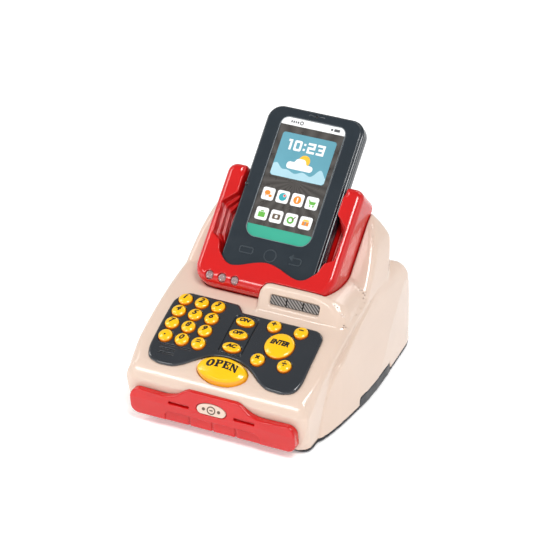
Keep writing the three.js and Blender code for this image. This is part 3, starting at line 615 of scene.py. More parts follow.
HUMP_SIDE = outline([
    (HUMP_FOOT_Y - 3, 60), HUMP_FOOT, (-17.4, HUMP_TOP, 3), (24, HUMP_TOP), (24, 60)])
DISPLAY_SIDE = outline([
    (-27.5, 63), HUMP_FOOT, (-17.4, HUMP_TOP, 3), (*slope_point(-39.3, 3.9), 1), (*slope_point(-39.3, 0.2), 0),
    (*slope_point(-43.3, 0.2), 0), (*slope_point(-43.3, -14), 0), (-5.5, 63)], cell=0.5)
HUMP_FRONT = outline([
    (HUMP_LEFT, 50), (HUMP_LEFT, HUMP_TOP, 9), (HUMP_RIGHT - 0.5, HUMP_TOP, 18), (HUMP_RIGHT, 50)])

CRADLE_LEFT, CRADLE_RIGHT = [outline([
    (-20, CRADLE_LOW), (53.5, CRADLE_LOW, radius), (53.5, 41.5, 14.5), (38.8, 41.5, 3), (38.8, 36, 1), (-20, 36)],
    cell=0.6) for radius in (14, 24)]
PANEL_WAVE = [  # the right half of the front edge
    (0, -128.8, 24), (10, -130, 24), (16, -132.4, 30), (22, -136.2, 20), (28.5, -141.3, 20), (36, -145.4, 14),
    (48, -146, 13), (57.4, -143, 13), (59.8, -134, 20)]
PANEL_SHAPE = outline([
    *PANEL_WAVE[1:], (59.3, -106, SOFT), (58.2, -88.5, 9), (-6.5, -88.5, 3), (-12, -82.2, 4), (-24, -82, 8),
    (-54, -82, 9), (-60, -92, 12), (-60, -112, SOFT), *[(-x, s, r) for x, s, r in reversed(PANEL_WAVE)]], cell=0.5)
OPEN_S, OPEN_HALF_X, OPEN_HALF_S = -139.7, 19.0, 10.3
OPEN_SHAPE = Outline(ellipse(0, OPEN_S, OPEN_HALF_X, OPEN_HALF_S, 90), cell=0.5)
TAB_SIDE = outline([(-14, -8), (-13.7, 9.2, 1), (41, 8.8, 1.5), (42.6, -8)], cell=0.5)


def cradle_outline(x, t):
    """The lower right corner, which the display hump wraps, is rounder than the left one."""
    return np.where(x > 0, CRADLE_RIGHT(x, t), CRADLE_LEFT(-x, t))


def body_form(x, y, z):
    """The nose, deck and tower. The front edge is rounder than the sides' edges."""
    width = np.abs(x)
    side, front, plan = BODY_SIDE(y, z), BODY_FRONT(width, z), BODY_PLAN(width, y)
    edge = 4.5 + 5.5 * np.clip((-66 - y) / 18, 0, 1)
    return both(side, meet(front, plan), edge)


def fender_form(x, y, z):
    width = np.abs(x)
    return both(FENDER_SIDE(y, z), meet(FENDER_FRONT(width, z), FENDER_PLAN(width, y)), 2.3)


def hump_edge(x):
    """Edge radius of the hump: small at its left end, large where it turns into the right flank."""
    share = np.clip((x - 40) / 25, 0, 1)
    return 2.4 + 5.6 * share * share * (3 - 2 * share)


def outer_form(x, y, z):
    hump = both(HUMP_SIDE(y, z), HUMP_FRONT(x, z), hump_edge(x))
    return join(join(body_form(x, y, z), fender_form(x, y, z), 1.1), hump, 2.2)


def display_block(x, y, z):
    return both(DISPLAY_SIDE(y, z), HUMP_FRONT(x, z), hump_edge(x))


def housing_shape(x, y, z):
    t, n = slope_coordinates(y, z)
    s, h = deck_coordinates(y, z)
    outer = outer_form(x, y, z)
    closed = meet(outer, HOUSING_BOTTOM - z)
    cradle = cradle_outline(x, t)
    seat_walls = meet(cradle - 2.3, -26.6 - n, closed)
    housing = cut(unite(meet(closed, -(outer + WALL)), seat_walls), meet(cradle - 0.35, CRADLE_BOTTOM - 0.4 - n), 1.3)
    housing = join(housing, meet(display_block(x, y, z), x - 53.3), 0.3)
    window = block(*local(WINDOW, x, y, z), (-WINDOW_HALF_X, WINDOW_HALF_X), (-WINDOW_HALF_Y, WINDOW_HALF_Y),
                   (-2.2, 9), 1.9)
    return cut_all(
        housing, (window, 0.9), (block(x, y, z, (-53.2, 53.2), (-110, -80), (-10, 25.2)), 1.2),
        (meet(PANEL_SHAPE(x, s) + 1.1, between(h, -6, 9)), 0),
        (meet(OPEN_SHAPE(x, s) - KEY_GAP, between(h, -8, 9)), 1.2),
        (meet(TAB_SIDE(y, z) - 0.3, 58 - np.abs(x)), 0))


# ---------------- base plate
BATTERY_Y, DOOR_SCREW_Y = 60.0, 83.5
SCREW_SPOTS = [(-60.5, -58), (60.5, -58), (-60.5, 70), (60.5, 70)]
FOOT_SPOTS = [(-58, -74), (58, -74), (-64, 84), (64, 84)]
NOSE_PLAN = outline([(-FAR, -83.5), (68.6, -83.5, 7), (70, -50), (-FAR, -50)])


def nearest(spots, x, y):
    return unite(*[np.hypot(x - spot_x, y - spot_y) for spot_x, spot_y in spots])


def base_shape(x, y, z):
    width = np.abs(x)
    plan = unite(NOSE_PLAN(width, y), FENDER_PLAN(width, y) + 0.3)
    tab = meet(TAB_SIDE(y, z), fender_form(x, y, z) + 0.1, 75.5 - width, 0.8 - z)
    base = join(both(plan, between(z, 0.8, 2.8), 0.4), tab, 0.3)
    outside, inside, door = [
        block(x, y, z, (-half, half), (BATTERY_Y - half + 15, BATTERY_Y + half - 15), (-9, top))
        for half, top in ((34, 29), (32.2, 29), (31, 4))]
    base = meet(unite(base, meet(between(z, 2, 19), outside, -inside)), -door)
    foot, screw = nearest(FOOT_SPOTS, x, y), nearest(SCREW_SPOTS, x, y)
    base = unite(base, block(x, y, z, (-8, 8), (BATTERY_Y + 17.5, DOOR_SCREW_Y + 6.5), (1.5, 4.4)),
                 meet(foot - 7.6, between(z, 1.2, 4.2)))
    notch = block(x, y, z, (-5.3, 5.3), (BATTERY_Y + 10, DOOR_SCREW_Y + 4.3), (-9, 1.8))
    return meet(base, -notch, -meet(screw - 3.6, z - 9), -meet(foot - 5.8, z - 1.6))


# ---------------- cradle and lamps
def opening_outline(step):
    contour = [*soft((11.3, -28.2), (20, -32), (26.7, -33.2), (31.5, -31.6)), (38, -25, 6),
               (40.8 - step * 0.1, -17.5, 4), (47.6 - step, -13.4 + step, 3), (48.6 - step, 11 - step, 4),
               (38.8, 20.2 - step, 3), (38.8, 60)]
    return outline([(-20, -32), (-11.3, -28.2, SOFT), (0, -25.2, SOFT), *contour, (-20, 60)], cell=0.5)


OPENINGS = [(opening_outline(0.0), -4.0), (opening_outline(2.2), -8.5), (opening_outline(4.4), POCKET_FLOOR)]
POCKET = outline([(-20, -40.7), (38.8, -40.7, 9), (38.8, 80), (-20, 80)], cell=0.6)
LAMP_XS, LAMP_T, LAMP_RADIUS = (-40.0, -30.0, -20.0), -44.1, 2.8


def cradle_shape(x, t, n):
    """x across, t up the slope, n out of it."""
    width = np.abs(x)
    edge = cradle_outline(x, t)
    lip = ((n - CRADLE_TOP) + (CRADLE_LOW - t) + 4.5) / sqrt(2)  # chamfer along the lower front edge
    outer = both(both(both(edge, n - CRADLE_TOP, 5.5), lip, 3), CRADLE_BOTTOM - n, 0.8)
    hollow = meet(edge + WALL, n + 0.4, lip + WALL)
    tub = both(meet(between(width, -51, 51), between(t, -42.9, 35.5)), between(n, -16, 1), 0.5)
    lamp = nearest([(lamp_x, LAMP_T) for lamp_x in LAMP_XS], x, t)
    return cut_all(
        unite(meet(outer, -hollow), meet(tub, edge + 0.5)),
        (meet(POCKET(width, t), between(n, POCKET_FLOOR, 1)), 0.4),
        *[(meet(opening(width, t), floor - n), 1.1) for opening, floor in OPENINGS],
        (meet(display_block(x, *slope_point(t, n)) - 0.3, 0.3 - HUMP_LEFT - x), 0.3),
        (meet(lamp - LAMP_RADIUS - KEY_GAP, -6 - n), 0.5))


def revolve(name, profile, place, scale=(1.0, 1.0), segments=56):
    """A closed solid of revolution about the local z axis of place. profile is (radius, height), axis to axis."""
    points, faces = [(0, 0, profile[0][1])], []
    turns = [2 * pi * i / segments for i in range(segments)]
    for radius, height in profile[1:-1]:
        points += [(radius * cos(a) * scale[0], radius * sin(a) * scale[1], height) for a in turns]
    points.append((0, 0, profile[-1][1]))
    for ring in range(len(profile) - 3):
        base = 1 + ring * segments
        for i in range(segments):
            j = (i + 1) % segments
            faces.append((base + i, base + j, base + segments + j, base + segments + i))
    last = len(points) - 1
    for i in range(segments):
        j = (i + 1) % segments
        faces.append((0, 1 + j, 1 + i))
        faces.append((last, last - segments + i, last - segments + j))
    world = [place @ Vector(p) for p in points]
    return mesh_object(name, world, faces)


def slope_frame(x, t, n=0.0):
    return SLOPE @ Matrix.Translation((x, t, n))


LAMP_PARTS = [  # name, profile, material, slot
    ("cover", [(0, -1.5), (LAMP_RADIUS, -1.5, 0.3), (LAMP_RADIUS, 1.9, 0.6), (2.1, 3.1, 1.5), (0, 3.5)],
     LENS, "clear_lens"),
    ("cup", [(0, -5), (LAMP_RADIUS, -5, 0.3), (LAMP_RADIUS, -2.2, 0.2), (2.2, -2.2, 0.3), (0.9, -3.6, 0.6),
             (0, -3.6)], STEEL, "steel"),
    ("bulb", [(0, -3.5), (1.3, -3.5, 0.2), (1.3, -2.6, 1.1), (0, -1.7)], LABEL, "clear_lens")]


def make_lamps():
    for i, x in enumerate(LAMP_XS, 1):
        for part, profile, material, slot in LAMP_PARTS:
            piece = revolve(f"lamp_{part}_{i}", rounded(profile, closed=False), slope_frame(x, LAMP_T))
            finish_piece(piece, "root", material, slot, *([f"lamp_lens_{i}"] if part == "cover" else []))


# ---------------- keypad
PANEL_TOP = 2.2
KEY_RADIUS, ENTER_RADIUS, KEY_LOW = 5.15, 10.8, -2.9
KEY_TEXT = {  # lettering, size and width
    "enter": ("ENTER", 5.5, 0.84), "on": ("ON", 4.2, 1.15), "off": ("OFF", 4.2, 1.0), "clear": ("AC", 4.2, 1.15)}
number_keys = ["1", "2", "3", "4", "5", "6", "7", "8", "9", "point", "0", "equals"]
ROUND_KEYS = [(label, -51.2 + 13 * (i % 3), -90 - 11.3 * (i // 3), KEY_RADIUS) for i, label in enumerate(number_keys)]
ROUND_KEYS += [("plus", 21.2, -95, KEY_RADIUS), ("minus", 42, -95, KEY_RADIUS), ("times", 21.6, -125, KEY_RADIUS),
               ("divide", 42.2, -125, KEY_RADIUS), ("enter", 32, -110, ENTER_RADIUS)]
OVAL_KEYS = [(label, -0.5, -97.2 - 11.7 * i) for i, label in enumerate(["on", "off", "clear"])]
OVAL_HALF = (7.0, 4.1)
FUNCTION_FRAME = outline([(-9.2, -92, 3), (8.6, -92, 3), (8.6, -126, 3), (-9.2, -126, 3)], cell=0.4)


def bend_to_deck(points, normals):
    x, s, h = points.T
    nx, ns, nh = normals.T
    sine, cosine = np.sin(s / DECK_RADIUS), np.cos(s / DECK_RADIUS)
    bent = np.stack([x, DECK_Y + (DECK_RADIUS + h) * sine, DECK_Z + (DECK_RADIUS + h) * cosine], 1)
    return bent, np.stack([nx, ns * cosine + nh * sine, nh * cosine - ns * sine], 1)


def panel_shape(x, s, h):
    rounds = unite(*[np.hypot(x - kx, s - ks) - radius - KEY_GAP for _, kx, ks, radius in ROUND_KEYS])
    ovals = unite(*[(np.hypot((x - kx) / OVAL_HALF[0], (s - ks) / OVAL_HALF[1]) - 1) * 5.0 - KEY_GAP
                    for _, kx, ks in OVAL_KEYS])
    slots = unite(*[block(x, s, h, (low, high), (ks - 0.7, ks + 0.7), (PANEL_TOP - 1.4, 9), 0.5)
                    for low, high, ks in ((-52, -29, -130.4), (-51.5, -39.5, -133.9), (-51, -39, -137.4))])
    groove = meet(np.abs(FUNCTION_FRAME(x, s)) - 0.5, PANEL_TOP - 1.1 - h)
    panel = meet(both(PANEL_SHAPE(x, s), h - PANEL_TOP, 1.9), 0.25 - h)
    return cut_all(panel, (rounds, 0.25), (ovals, 0.25), (groove, 0.15), (slots, 0.15))


def key_profile(radius, shoulder, crown):
    dome = [(radius * cos(a), shoulder + (crown - shoulder) * sin(a)) for a in np.linspace(0, pi / 2, 14)]
    return [(0, KEY_LOW), (radius - 0.2, KEY_LOW), (radius, KEY_LOW + 0.2), *dome]


def top_height(profile):
    """Height of a profile's upper side at a distance from the axis."""
    widest = max(range(len(profile)), key=lambda i: (round(profile[i][0], 4), i))
    upper = profile[widest:][::-1]
    radii, heights = zip(*upper)
    return lambda r: np.interp(r, radii, heights)


def print_mesh(name, flat, lift, height=lambda u, v: 0.0):
    """Wraps a thin flat mesh, drawn in local x and y, over a surface whose height is given."""
    work = bmesh.new()
    work.from_mesh(flat)
    bmesh.ops.triangulate(work, faces=work.faces)
    for _ in range(3):
        long_edges = [e for e in work.edges if e.calc_length() > 1.1]
        if not long_edges:
            break
        bmesh.ops.subdivide_edges(work, edges=long_edges, cuts=1)
        bmesh.ops.triangulate(work, faces=[f for f in work.faces if len(f.verts) > 3])
    for vertex in work.verts:
        u, v, w = vertex.co
        vertex.co = lift @ Vector((u, v, height(u, v) + w)) * MM
    mesh = bpy.data.meshes.new(name)
    work.to_mesh(mesh)
    work.free()
    return add_object(name, mesh)


def flat_mesh(curve):
    """The mesh of a curve or of lettering."""
    holder = add_object(curve.name, curve)
    bpy.context.view_layer.update()
    mesh = bpy.data.meshes.new_from_object(holder.evaluated_get(bpy.context.evaluated_depsgraph_get()))
    bpy.data.objects.remove(holder)
    return mesh


def text_flat(body, size, wide, weight, thick=0.03):
    """Lettering as a thin closed mesh round the origin, in millimetres."""
    curve = bpy.data.curves.new("lettering", "FONT")
    curve.body, curve.size, curve.shear, curve.offset = body, 1.0, 0.25, weight
    curve.extrude, curve.resolution_u = 0.01, 4
    mesh = flat_mesh(curve)
    points = np.array([v.co for v in mesh.vertices])
    middle = (points.min(0) + points.max(0)) / 2
    for vertex in mesh.vertices:
        u, v, w = np.array(vertex.co) - middle
        vertex.co = (u * size * wide, v * size, copysign(thick, w))
    return mesh


def loops_flat(loops, thick=0.03):
    """Closed outlines, filled, as a thin closed mesh in millimetres. An outline inside another is a hole."""
    curve = bpy.data.curves.new("artwork", "CURVE")
    curve.dimensions, curve.fill_mode, curve.extrude = "2D", "BOTH", thick
    for loop in loops:
        spline = curve.splines.new("POLY")
        spline.points.add(len(loop) - 1)
        for point, (u, v) in zip(spline.points, loop):
            point.co = (u, v, 0, 1)
        spline.use_cyclic_u = True
    return flat_mesh(curve)


def bar_loop(half, thick=1.1):
    return box2d(-half, half, -thick / 2, thick / 2)


def sign_loops(label):
    """The operator signs and the point as bars and dots, or nothing for a key with lettering."""
    reach, arm = 1.9, 0.55
    plus = [(-reach, -arm), (-arm, -arm), (-arm, -reach), (arm, -reach), (arm, -arm), (reach, -arm), (reach, arm),
            (arm, arm), (arm, reach), (-arm, reach), (-arm, arm), (-reach, arm)]
    c, s = cos(radians(45)), sin(radians(45))
    return {
        "plus": [plus], "minus": [bar_loop(reach)], "times": [[(u * c - v * s, u * s + v * c) for u, v in plus]],
        "divide": [bar_loop(reach), ellipse(0, 1.6, 0.62, 0.62, 16), ellipse(0, -1.6, 0.62, 0.62, 16)],
        "equals": [box2d(-1.8, 1.8, 0.4, 1.3), box2d(-1.8, 1.8, -1.3, -0.4)],
        "point": [ellipse(0, -1.2, 0.7, 0.7, 16)]}.get(label)


def key_legend(label):
    loops = sign_loops(label)
    if loops:
        return loops_flat(loops)
    text, size, wide = KEY_TEXT.get(label, (label, 5.8, 1.1))
    return text_flat(text, size, wide, 0.045 if len(text) == 1 else 0.07)


def make_button(cap, node, profile, place, half, material, printing, flat, up, segments=56):
    """A cap turned from a profile and stretched to its half widths, with print laid over its crown."""
    piece = revolve(cap, profile, place, half, segments)
    finish_piece(piece, node, material, "yellow_plastic", node)
    height = top_height(profile)
    legend = print_mesh(printing, flat, place @ Matrix.Translation((0, up, 0)),
                        lambda u, v: float(height(hypot(u / half[0], (v + up) / half[1]))))
    finish_piece(legend, node, BLACK_INK, "yellow_plastic")


def make_keys():
    dome = [(cos(a), 2.8 + 1.6 * sin(a)) for a in np.linspace(0, pi / 2, 14)]
    oval = [(0, KEY_LOW), (0.97, KEY_LOW), (1, KEY_LOW + 0.2), *dome]
    keys = [(label, x, s, oval, OVAL_HALF, 0.7) for label, x, s in OVAL_KEYS]
    for label, x, s, radius in ROUND_KEYS:
        crown, up = (5.0, 1.6) if label == "enter" else (4.8, 1.1)
        keys.append((label, x, s, key_profile(radius, PANEL_TOP + 0.5, crown), (1.0, 1.0), up))
    for label, x, s, profile, half, up in keys:
        make_button(f"key_cap_{label}", f"key_{label}", profile, deck_frame(x, s), half, YELLOW,
                    f"key_print_{label}", key_legend(label), up)


# ---------------- OPEN button
def slab_letters():
    """Heavy slab-serif capitals on a 10 mm square, each a list of outlines."""
    letter_o = [ellipse(4.9, 5, 4.9, 5.1, 36), ellipse(4.9, 5, 1.4, 3.3, 28)]
    letter_p = [[(0, 0), (5.2, 0), (5.2, 1.5), (4.2, 1.5), (4.2, 4.2), *rounded(
        [(4.2, 4.2), (8.9, 4.2, 2.6), (8.9, 10, 2.6), (4.2, 10)], closed=False)[1:-1], (0, 10), (0, 8.5), (1, 8.5),
        (1, 1.5), (0, 1.5)], box2d(4.2, 6.0, 5.8, 8.5, 0.8)]
    letter_e = [[(0, 0), (8.3, 0), (8.3, 3.6), (6.9, 3.6), (6.4, 1.6), (4.2, 1.6), (4.2, 4.2), (5.4, 4.2), (5.4, 3.2),
                 (6.5, 3.2), (6.5, 6.8), (5.4, 6.8), (5.4, 5.8), (4.2, 5.8), (4.2, 8.4), (6.4, 8.4), (6.9, 6.6),
                 (8.3, 6.6), (8.3, 10), (0, 10), (0, 8.5), (1, 8.5), (1, 1.5), (0, 1.5)]]
    letter_n = [[(0, 0), (3.8, 0), (3.8, 1.4), (2.8, 1.4), (2.8, 6.2), (7, 0), (9, 0), (9, 8.6), (10, 8.6), (10, 10),
                 (6.3, 10), (6.3, 8.6), (7.2, 8.6), (7.2, 4.2), (3.6, 10), (0, 10), (0, 8.6), (1, 8.6), (1, 1.4),
                 (0, 1.4)]]
    return [(letter_o, 9.8), (letter_p, 9.0), (letter_e, 8.3), (letter_n, 10.0)]


def open_word(height, gap, arch):
    """OPEN as outlines round the origin, arched over the middle."""
    scale = height / 10
    letters = slab_letters()
    total = sum(width for _, width in letters) * scale + gap * (len(letters) - 1)
    start = -total / 2
    loops = []
    for outlines, width in letters:
        for loop in outlines:
            line = [(start + u * scale, v * scale) for u, v in loop]
            loops.append([(u, v - arch * (u / (total / 2)) ** 2) for u, v in line])
        start += width * scale + gap
    return loops


def make_open_button():
    rise = [(0, -5.2), (1.05, -5.2, 0.02), (1.05, -4.1, 0.02), (1, -4.1), (1, 1.2, 0.1), (0.94, 2.9, 0.1),
            (0.78, 4.2, 0.3), (0.4, 5.05, SOFT), (0, 5.15)]
    make_button("open_cap", "open_button", rounded(rise, closed=False, turn=8), deck_frame(0, OPEN_S),
                (OPEN_HALF_X, OPEN_HALF_S), OPEN_YELLOW, "open_print", loops_flat(open_word(6.2, 0.4, 1.7)), 0.6, 96)


# ---------------- display
def make_display():
    smoked = printed("smoked_hatch", hatch, (0.02, 0.018, 0.017), (0.34, 0.31, 0.295), 0.2)
    third = (2 * WINDOW_HALF_X - 2.6) / 3
    for i in range(3):
        middle = (i - 1) * (third + 0.8)

        def pane(x, y, z, middle=middle):
            wx, wy, wz = local(WINDOW, x, y, z)
            return block(wx - middle, wy, wz, (-third / 2, third / 2), (-2.7, 3.6), (-1.9, -0.5), 0.35)

        centre = WINDOW @ Vector((middle, 0, 0))
        low = [centre.x - third / 2 - 1, centre.y - 4, centre.z - 5]
        high = [centre.x + third / 2 + 1, centre.y + 4, centre.z + 5]
        piece = moulded(f"display_pane_{i + 1}", pane, low, high, 0.45)
        finish_piece(piece, "root", smoked, "smoked_window", *(["display_window"] if i == 1 else []))
    back = print_mesh("display_back", loops_flat([box2d(-19, 19, -3.8, 3.8)], 0.1),
                      WINDOW @ Matrix.Translation((0, 0, -2.05)))
    finish_piece(back, "root", BLACK_INK, "printed_label", "display_label")


# ---------------- drawer
TRAY_HALF, TRAY_FRONT, TRAY_REAR, TRAY_LOW, TRAY_TOP, TRAY_WALL = 52.0, -91.6, 14.0, 5.2, 23.6, 2.0
FASCIA_HALF, CREASE_Z = 64.4, 20.5
FASCIA_SHAPE = outline([
    (-20, 6.5), (FASCIA_HALF, 6.5, 6.5), (FASCIA_HALF, 27.4, 7), (37, 26.4, 14), (29, 28.6, 12), (20.5, 34.8, 9),
    (-20, 34.8)], cell=0.4)
FASCIA_SIDE = outline([
    (-80, 40), (-80, 0), (-94.4, 0), (-94.9, 6.5), (-96.5, CREASE_Z, 3), (-93.4, 36)], cell=0.4)


def tray_shape(x, y, z):
    tray = block(x, y, z, (-TRAY_HALF, TRAY_HALF), (TRAY_FRONT, TRAY_REAR), (TRAY_LOW, TRAY_TOP), 1.0)
    cross = -44.0
    for x_range in ((-TRAY_HALF + TRAY_WALL, -18), (-16, 16), (18, TRAY_HALF - TRAY_WALL)):
        for y_range in ((TRAY_FRONT + TRAY_WALL, cross), (cross + TRAY_WALL, TRAY_REAR - TRAY_WALL)):
            tray = cut(tray, block(x, y, z, x_range, y_range, (TRAY_LOW + TRAY_WALL, 60), 2.5), 0.6)
    return tray


def badge_shape(u, v, w):
    """An oval plate whose lower edge is cut off along the fascia's crease."""
    oval = (np.hypot(u / 11.3, (v + 1.2) / 5.0) - 1) * 5.0
    return both(both(oval, -4.6 - v, 0.5), between(w, -1.2, 0.35), 0.3)


def fascia_shape(x, y, z):
    width = np.abs(x)
    fascia = meet(both(FASCIA_SHAPE(width, z), FASCIA_SIDE(y, z), 1.2), 0.35 - body_form(x, y, z))
    band = both(width - 37 + np.maximum(z - 12, 0), z - 15, 0.5)
    grooves = [block(x, y, z, (x0 - 0.8, x0 + 0.8), (-99, -92.9), (0, 14.8), 0.3) for x0 in (-18, 0, 18)]
    slot = block(width, y, z, (17.5, 33.5), (-99, -93.4), (21.6, 23.6), 0.6)
    badge = badge_shape(*local(BADGE, x, y, z)) - 0.3
    return cut_all(fascia, (meet(band, y + 94.0), 0.3), (unite(*grooves), 0.3), (slot, 0.4), (badge, 0.3))


def make_badge_print():
    coin = [ellipse(0, 0, 3.4, 3.1, 32), ellipse(0, 0, 2.5, 2.2, 32), ellipse(-5.9, 0, 1.3, 1.2, 20),
            ellipse(5.9, 0, 1.3, 1.2, 20), bar_loop(1.3, 1.0)]
    mark = print_mesh("badge_print", loops_flat(coin), BADGE @ Matrix.Translation((0, -0.7, 0.35)))
    finish_piece(mark, "drawer", ink("brown_ink", (0.10, 0.05, 0.03)), "cream_plastic")


def make_spring():
    start, end, turns, radius, wire = 15.2, 32.8, 5, 4.0, 0.6
    curve = bpy.data.curves.new("return_spring", "CURVE")
    curve.dimensions, curve.bevel_depth, curve.bevel_resolution = "3D", wire * MM, 3
    curve.use_fill_caps = True
    spline = curve.splines.new("POLY")
    steps = turns * 28
    spline.points.add(steps)
    for i, point in enumerate(spline.points):
        a = 2 * pi * turns * i / steps
        place = (radius * cos(a), start + (end - start) * i / steps, 12 + radius * sin(a))
        point.co = (*[value * MM for value in place], 1)
    finish_piece(add_object("return_spring", curve), "root", STEEL, "steel", "drawer_spring")


# ---------------- phone
PHONE_HALF, PHONE_LOW, PHONE_TOP, PHONE_CORNER = 38.0, -40.0, 91.4, 11.0
PHONE_BACK, PHONE_SEAM, PHONE_RIM, PHONE_FACE = -13.3, -5.7, -1.7, 0.7
SCREEN_HALF, SCREEN_LOW, SCREEN_HIGH = 25.2, -9.0, 83.3
PHONE_SHAPE = outline([
    (-20, PHONE_LOW), (PHONE_HALF, PHONE_LOW, PHONE_CORNER), (PHONE_HALF, PHONE_TOP, PHONE_CORNER),
    (-20, PHONE_TOP)], cell=0.6)
SCREEN_TOP_CORNER, SCREEN_LOW_CORNER = 5.5, 8.0


def screen_patch(low, high, low_corner, high_corner, edge=0.0):
    """A patch as wide as the screen, or wider by edge on each side."""
    half, low, high = SCREEN_HALF + edge, low - edge, high + edge
    return rounded([(-half, low, low_corner + edge), (half, low, low_corner + edge),
                    (half, high, high_corner + edge), (-half, high, high_corner + edge)])


SCREEN_OUTLINE = screen_patch(SCREEN_LOW, SCREEN_HIGH, SCREEN_LOW_CORNER, SCREEN_TOP_CORNER)
SCREEN_SHAPE = Outline(SCREEN_OUTLINE, cell=0.5)
BUTTON_X, BUTTON_T, BUTTON_RADIUS, CAMERA_T = -35.9, 28.0, 1.2, 87.3


def phone_front_shape(x, t, n):
    edge = PHONE_SHAPE(np.abs(x), t)
    rim = both(edge, between(n, PHONE_SEAM + 0.3, PHONE_RIM), 1.0)
    plate = both(edge + 1.4, n - PHONE_FACE, 0.8)
    front = join(rim, meet(plate, PHONE_RIM - 1 - n), 0.5)
    front = meet(front, -meet(edge + 4, n - PHONE_RIM + 1.5))
    button_hole = nearest([(BUTTON_X, BUTTON_T)], x, t) - BUTTON_RADIUS - 0.3
    ear = block(x, t, n, (-6, 6), (86.7, 87.9), (PHONE_FACE - 0.5, 9), 0.4)
    return cut_all(
        front, (meet(SCREEN_SHAPE(x, t) - 0.3, -0.5 - n), 0.25), (meet(np.hypot(x, t - CAMERA_T) - 1.0, -3 - n), 0.2),
        (meet(button_hole, -3.6 - n), 0.2), (meet(ear, 2.4 - np.abs(x)), 0.15))


def phone_key_marks():
    """Raised signs of the three keys under the screen: a bar, a ring and a back arrow."""
    bar = [box2d(-25, -14, -22.6, -17.4, 1.6), box2d(-24.2, -14.8, -21.8, -18.2, 1.0)]
    ring = [ellipse(-0.5, -20.5, 4.9, 4.9), ellipse(-0.5, -20.5, 4.1, 4.1)]
    hook = [[(13.5, -18.2), (17, -15.4), (17, -17.6), (22.6, -17.6), (24, -19), (24, -22), (22.6, -23.4), (15, -23.4),
             (15, -22.6), (22.3, -22.6), (23.2, -21.7), (23.2, -19.3), (22.3, -18.4), (17, -18.4), (17, -21)]]
    return [*bar, *ring, *hook]


def phone_back_shape(x, t, n):
    edge = PHONE_SHAPE(np.abs(x), t)
    back = both(both(edge + 0.3, PHONE_BACK - n, 3.0), n - PHONE_SEAM, 0.3)
    return meet(back, -meet(edge + 2.3, PHONE_BACK + 2 - n))


PHONE_FITTINGS = [  # name, profile, place on the slope, body, material, slot, CAD nodes
    ("phone_side_knob", [(0, -2.4), (BUTTON_RADIUS, -2.4, 0.2), (BUTTON_RADIUS, 1.0, 0.4), (0, 1.3)],
     (BUTTON_X, BUTTON_T), "phone_button", CHARCOAL, "panel_plastic", ["phone_side_button"]),
    ("phone_camera_lens", [(0, -2.8), (0.95, -2.8, 0.1), (0.95, 0.2, 0.3), (0, 0.45)],
     (0, CAMERA_T), "phone", BLACK_INK, "phone_plastic", [])]


def make_phone_fittings():
    """The side button, the camera's lens and the signs of the keys."""
    for name, profile, place, body, material, slot, nodes in PHONE_FITTINGS:
        piece = revolve(name, rounded(profile, closed=False), slope_frame(*place), segments=32)
        finish_piece(piece, body, material, slot, *nodes)
    # The raised key signs are drawn lighter than the face: painted highlight.
    decal("phone_key_marks", phone_key_marks(), PHONE_MARK_HIGHLIGHT, PHONE_FACE + 0.05, 0.15, "phone_plastic")


def decal(name, loops, material, level, thick=0.04, slot="printed_label"):
    """Printed artwork on the phone's face: outlines in (x, t), level is the height of its middle."""
    piece = print_mesh(name, loops_flat(loops, thick), slope_frame(0, 0, level))
    return finish_piece(piece, "phone", material, slot)


def shifted(loops, x, y):
    return [[(u + x, v + y) for u, v in loop] for loop in loops]


CLOCK_SIGNS = {  # squared digits, 6 wide and 8 high, with a stroke of 1.7
    "1": [[(2.6, 0), (4.4, 0), (4.4, 8), (1.4, 8), (1.4, 6.3), (2.6, 6.3)]],
    "0": [box2d(0, 6, 0, 8, 1.2), box2d(1.7, 4.3, 1.7, 6.3, 0.4)],
    ":": [box2d(0, 1.6, 1.2, 2.8), box2d(0, 1.6, 5.0, 6.6)],
    "2": [[(0, 0), (6, 0), (6, 1.7), (1.7, 1.7), (1.7, 3.2), (6, 3.2), (6, 8), (0, 8), (0, 6.3), (4.3, 6.3),
           (4.3, 4.9), (0, 4.9)]],
    "3": [[(0, 0), (6, 0), (6, 8), (0, 8), (0, 6.3), (4.3, 6.3), (4.3, 4.9), (1.2, 4.9), (1.2, 3.2), (4.3, 3.2),
           (4.3, 1.7), (0, 1.7)]]}
CLOCK_LEFT, CLOCK_LOW = -16.2, 59.4
ICON_XS, ICON_TS, ICON_HALF = (-17.2, -5.75, 5.75, 17.2), (24, 8.75), 4.75


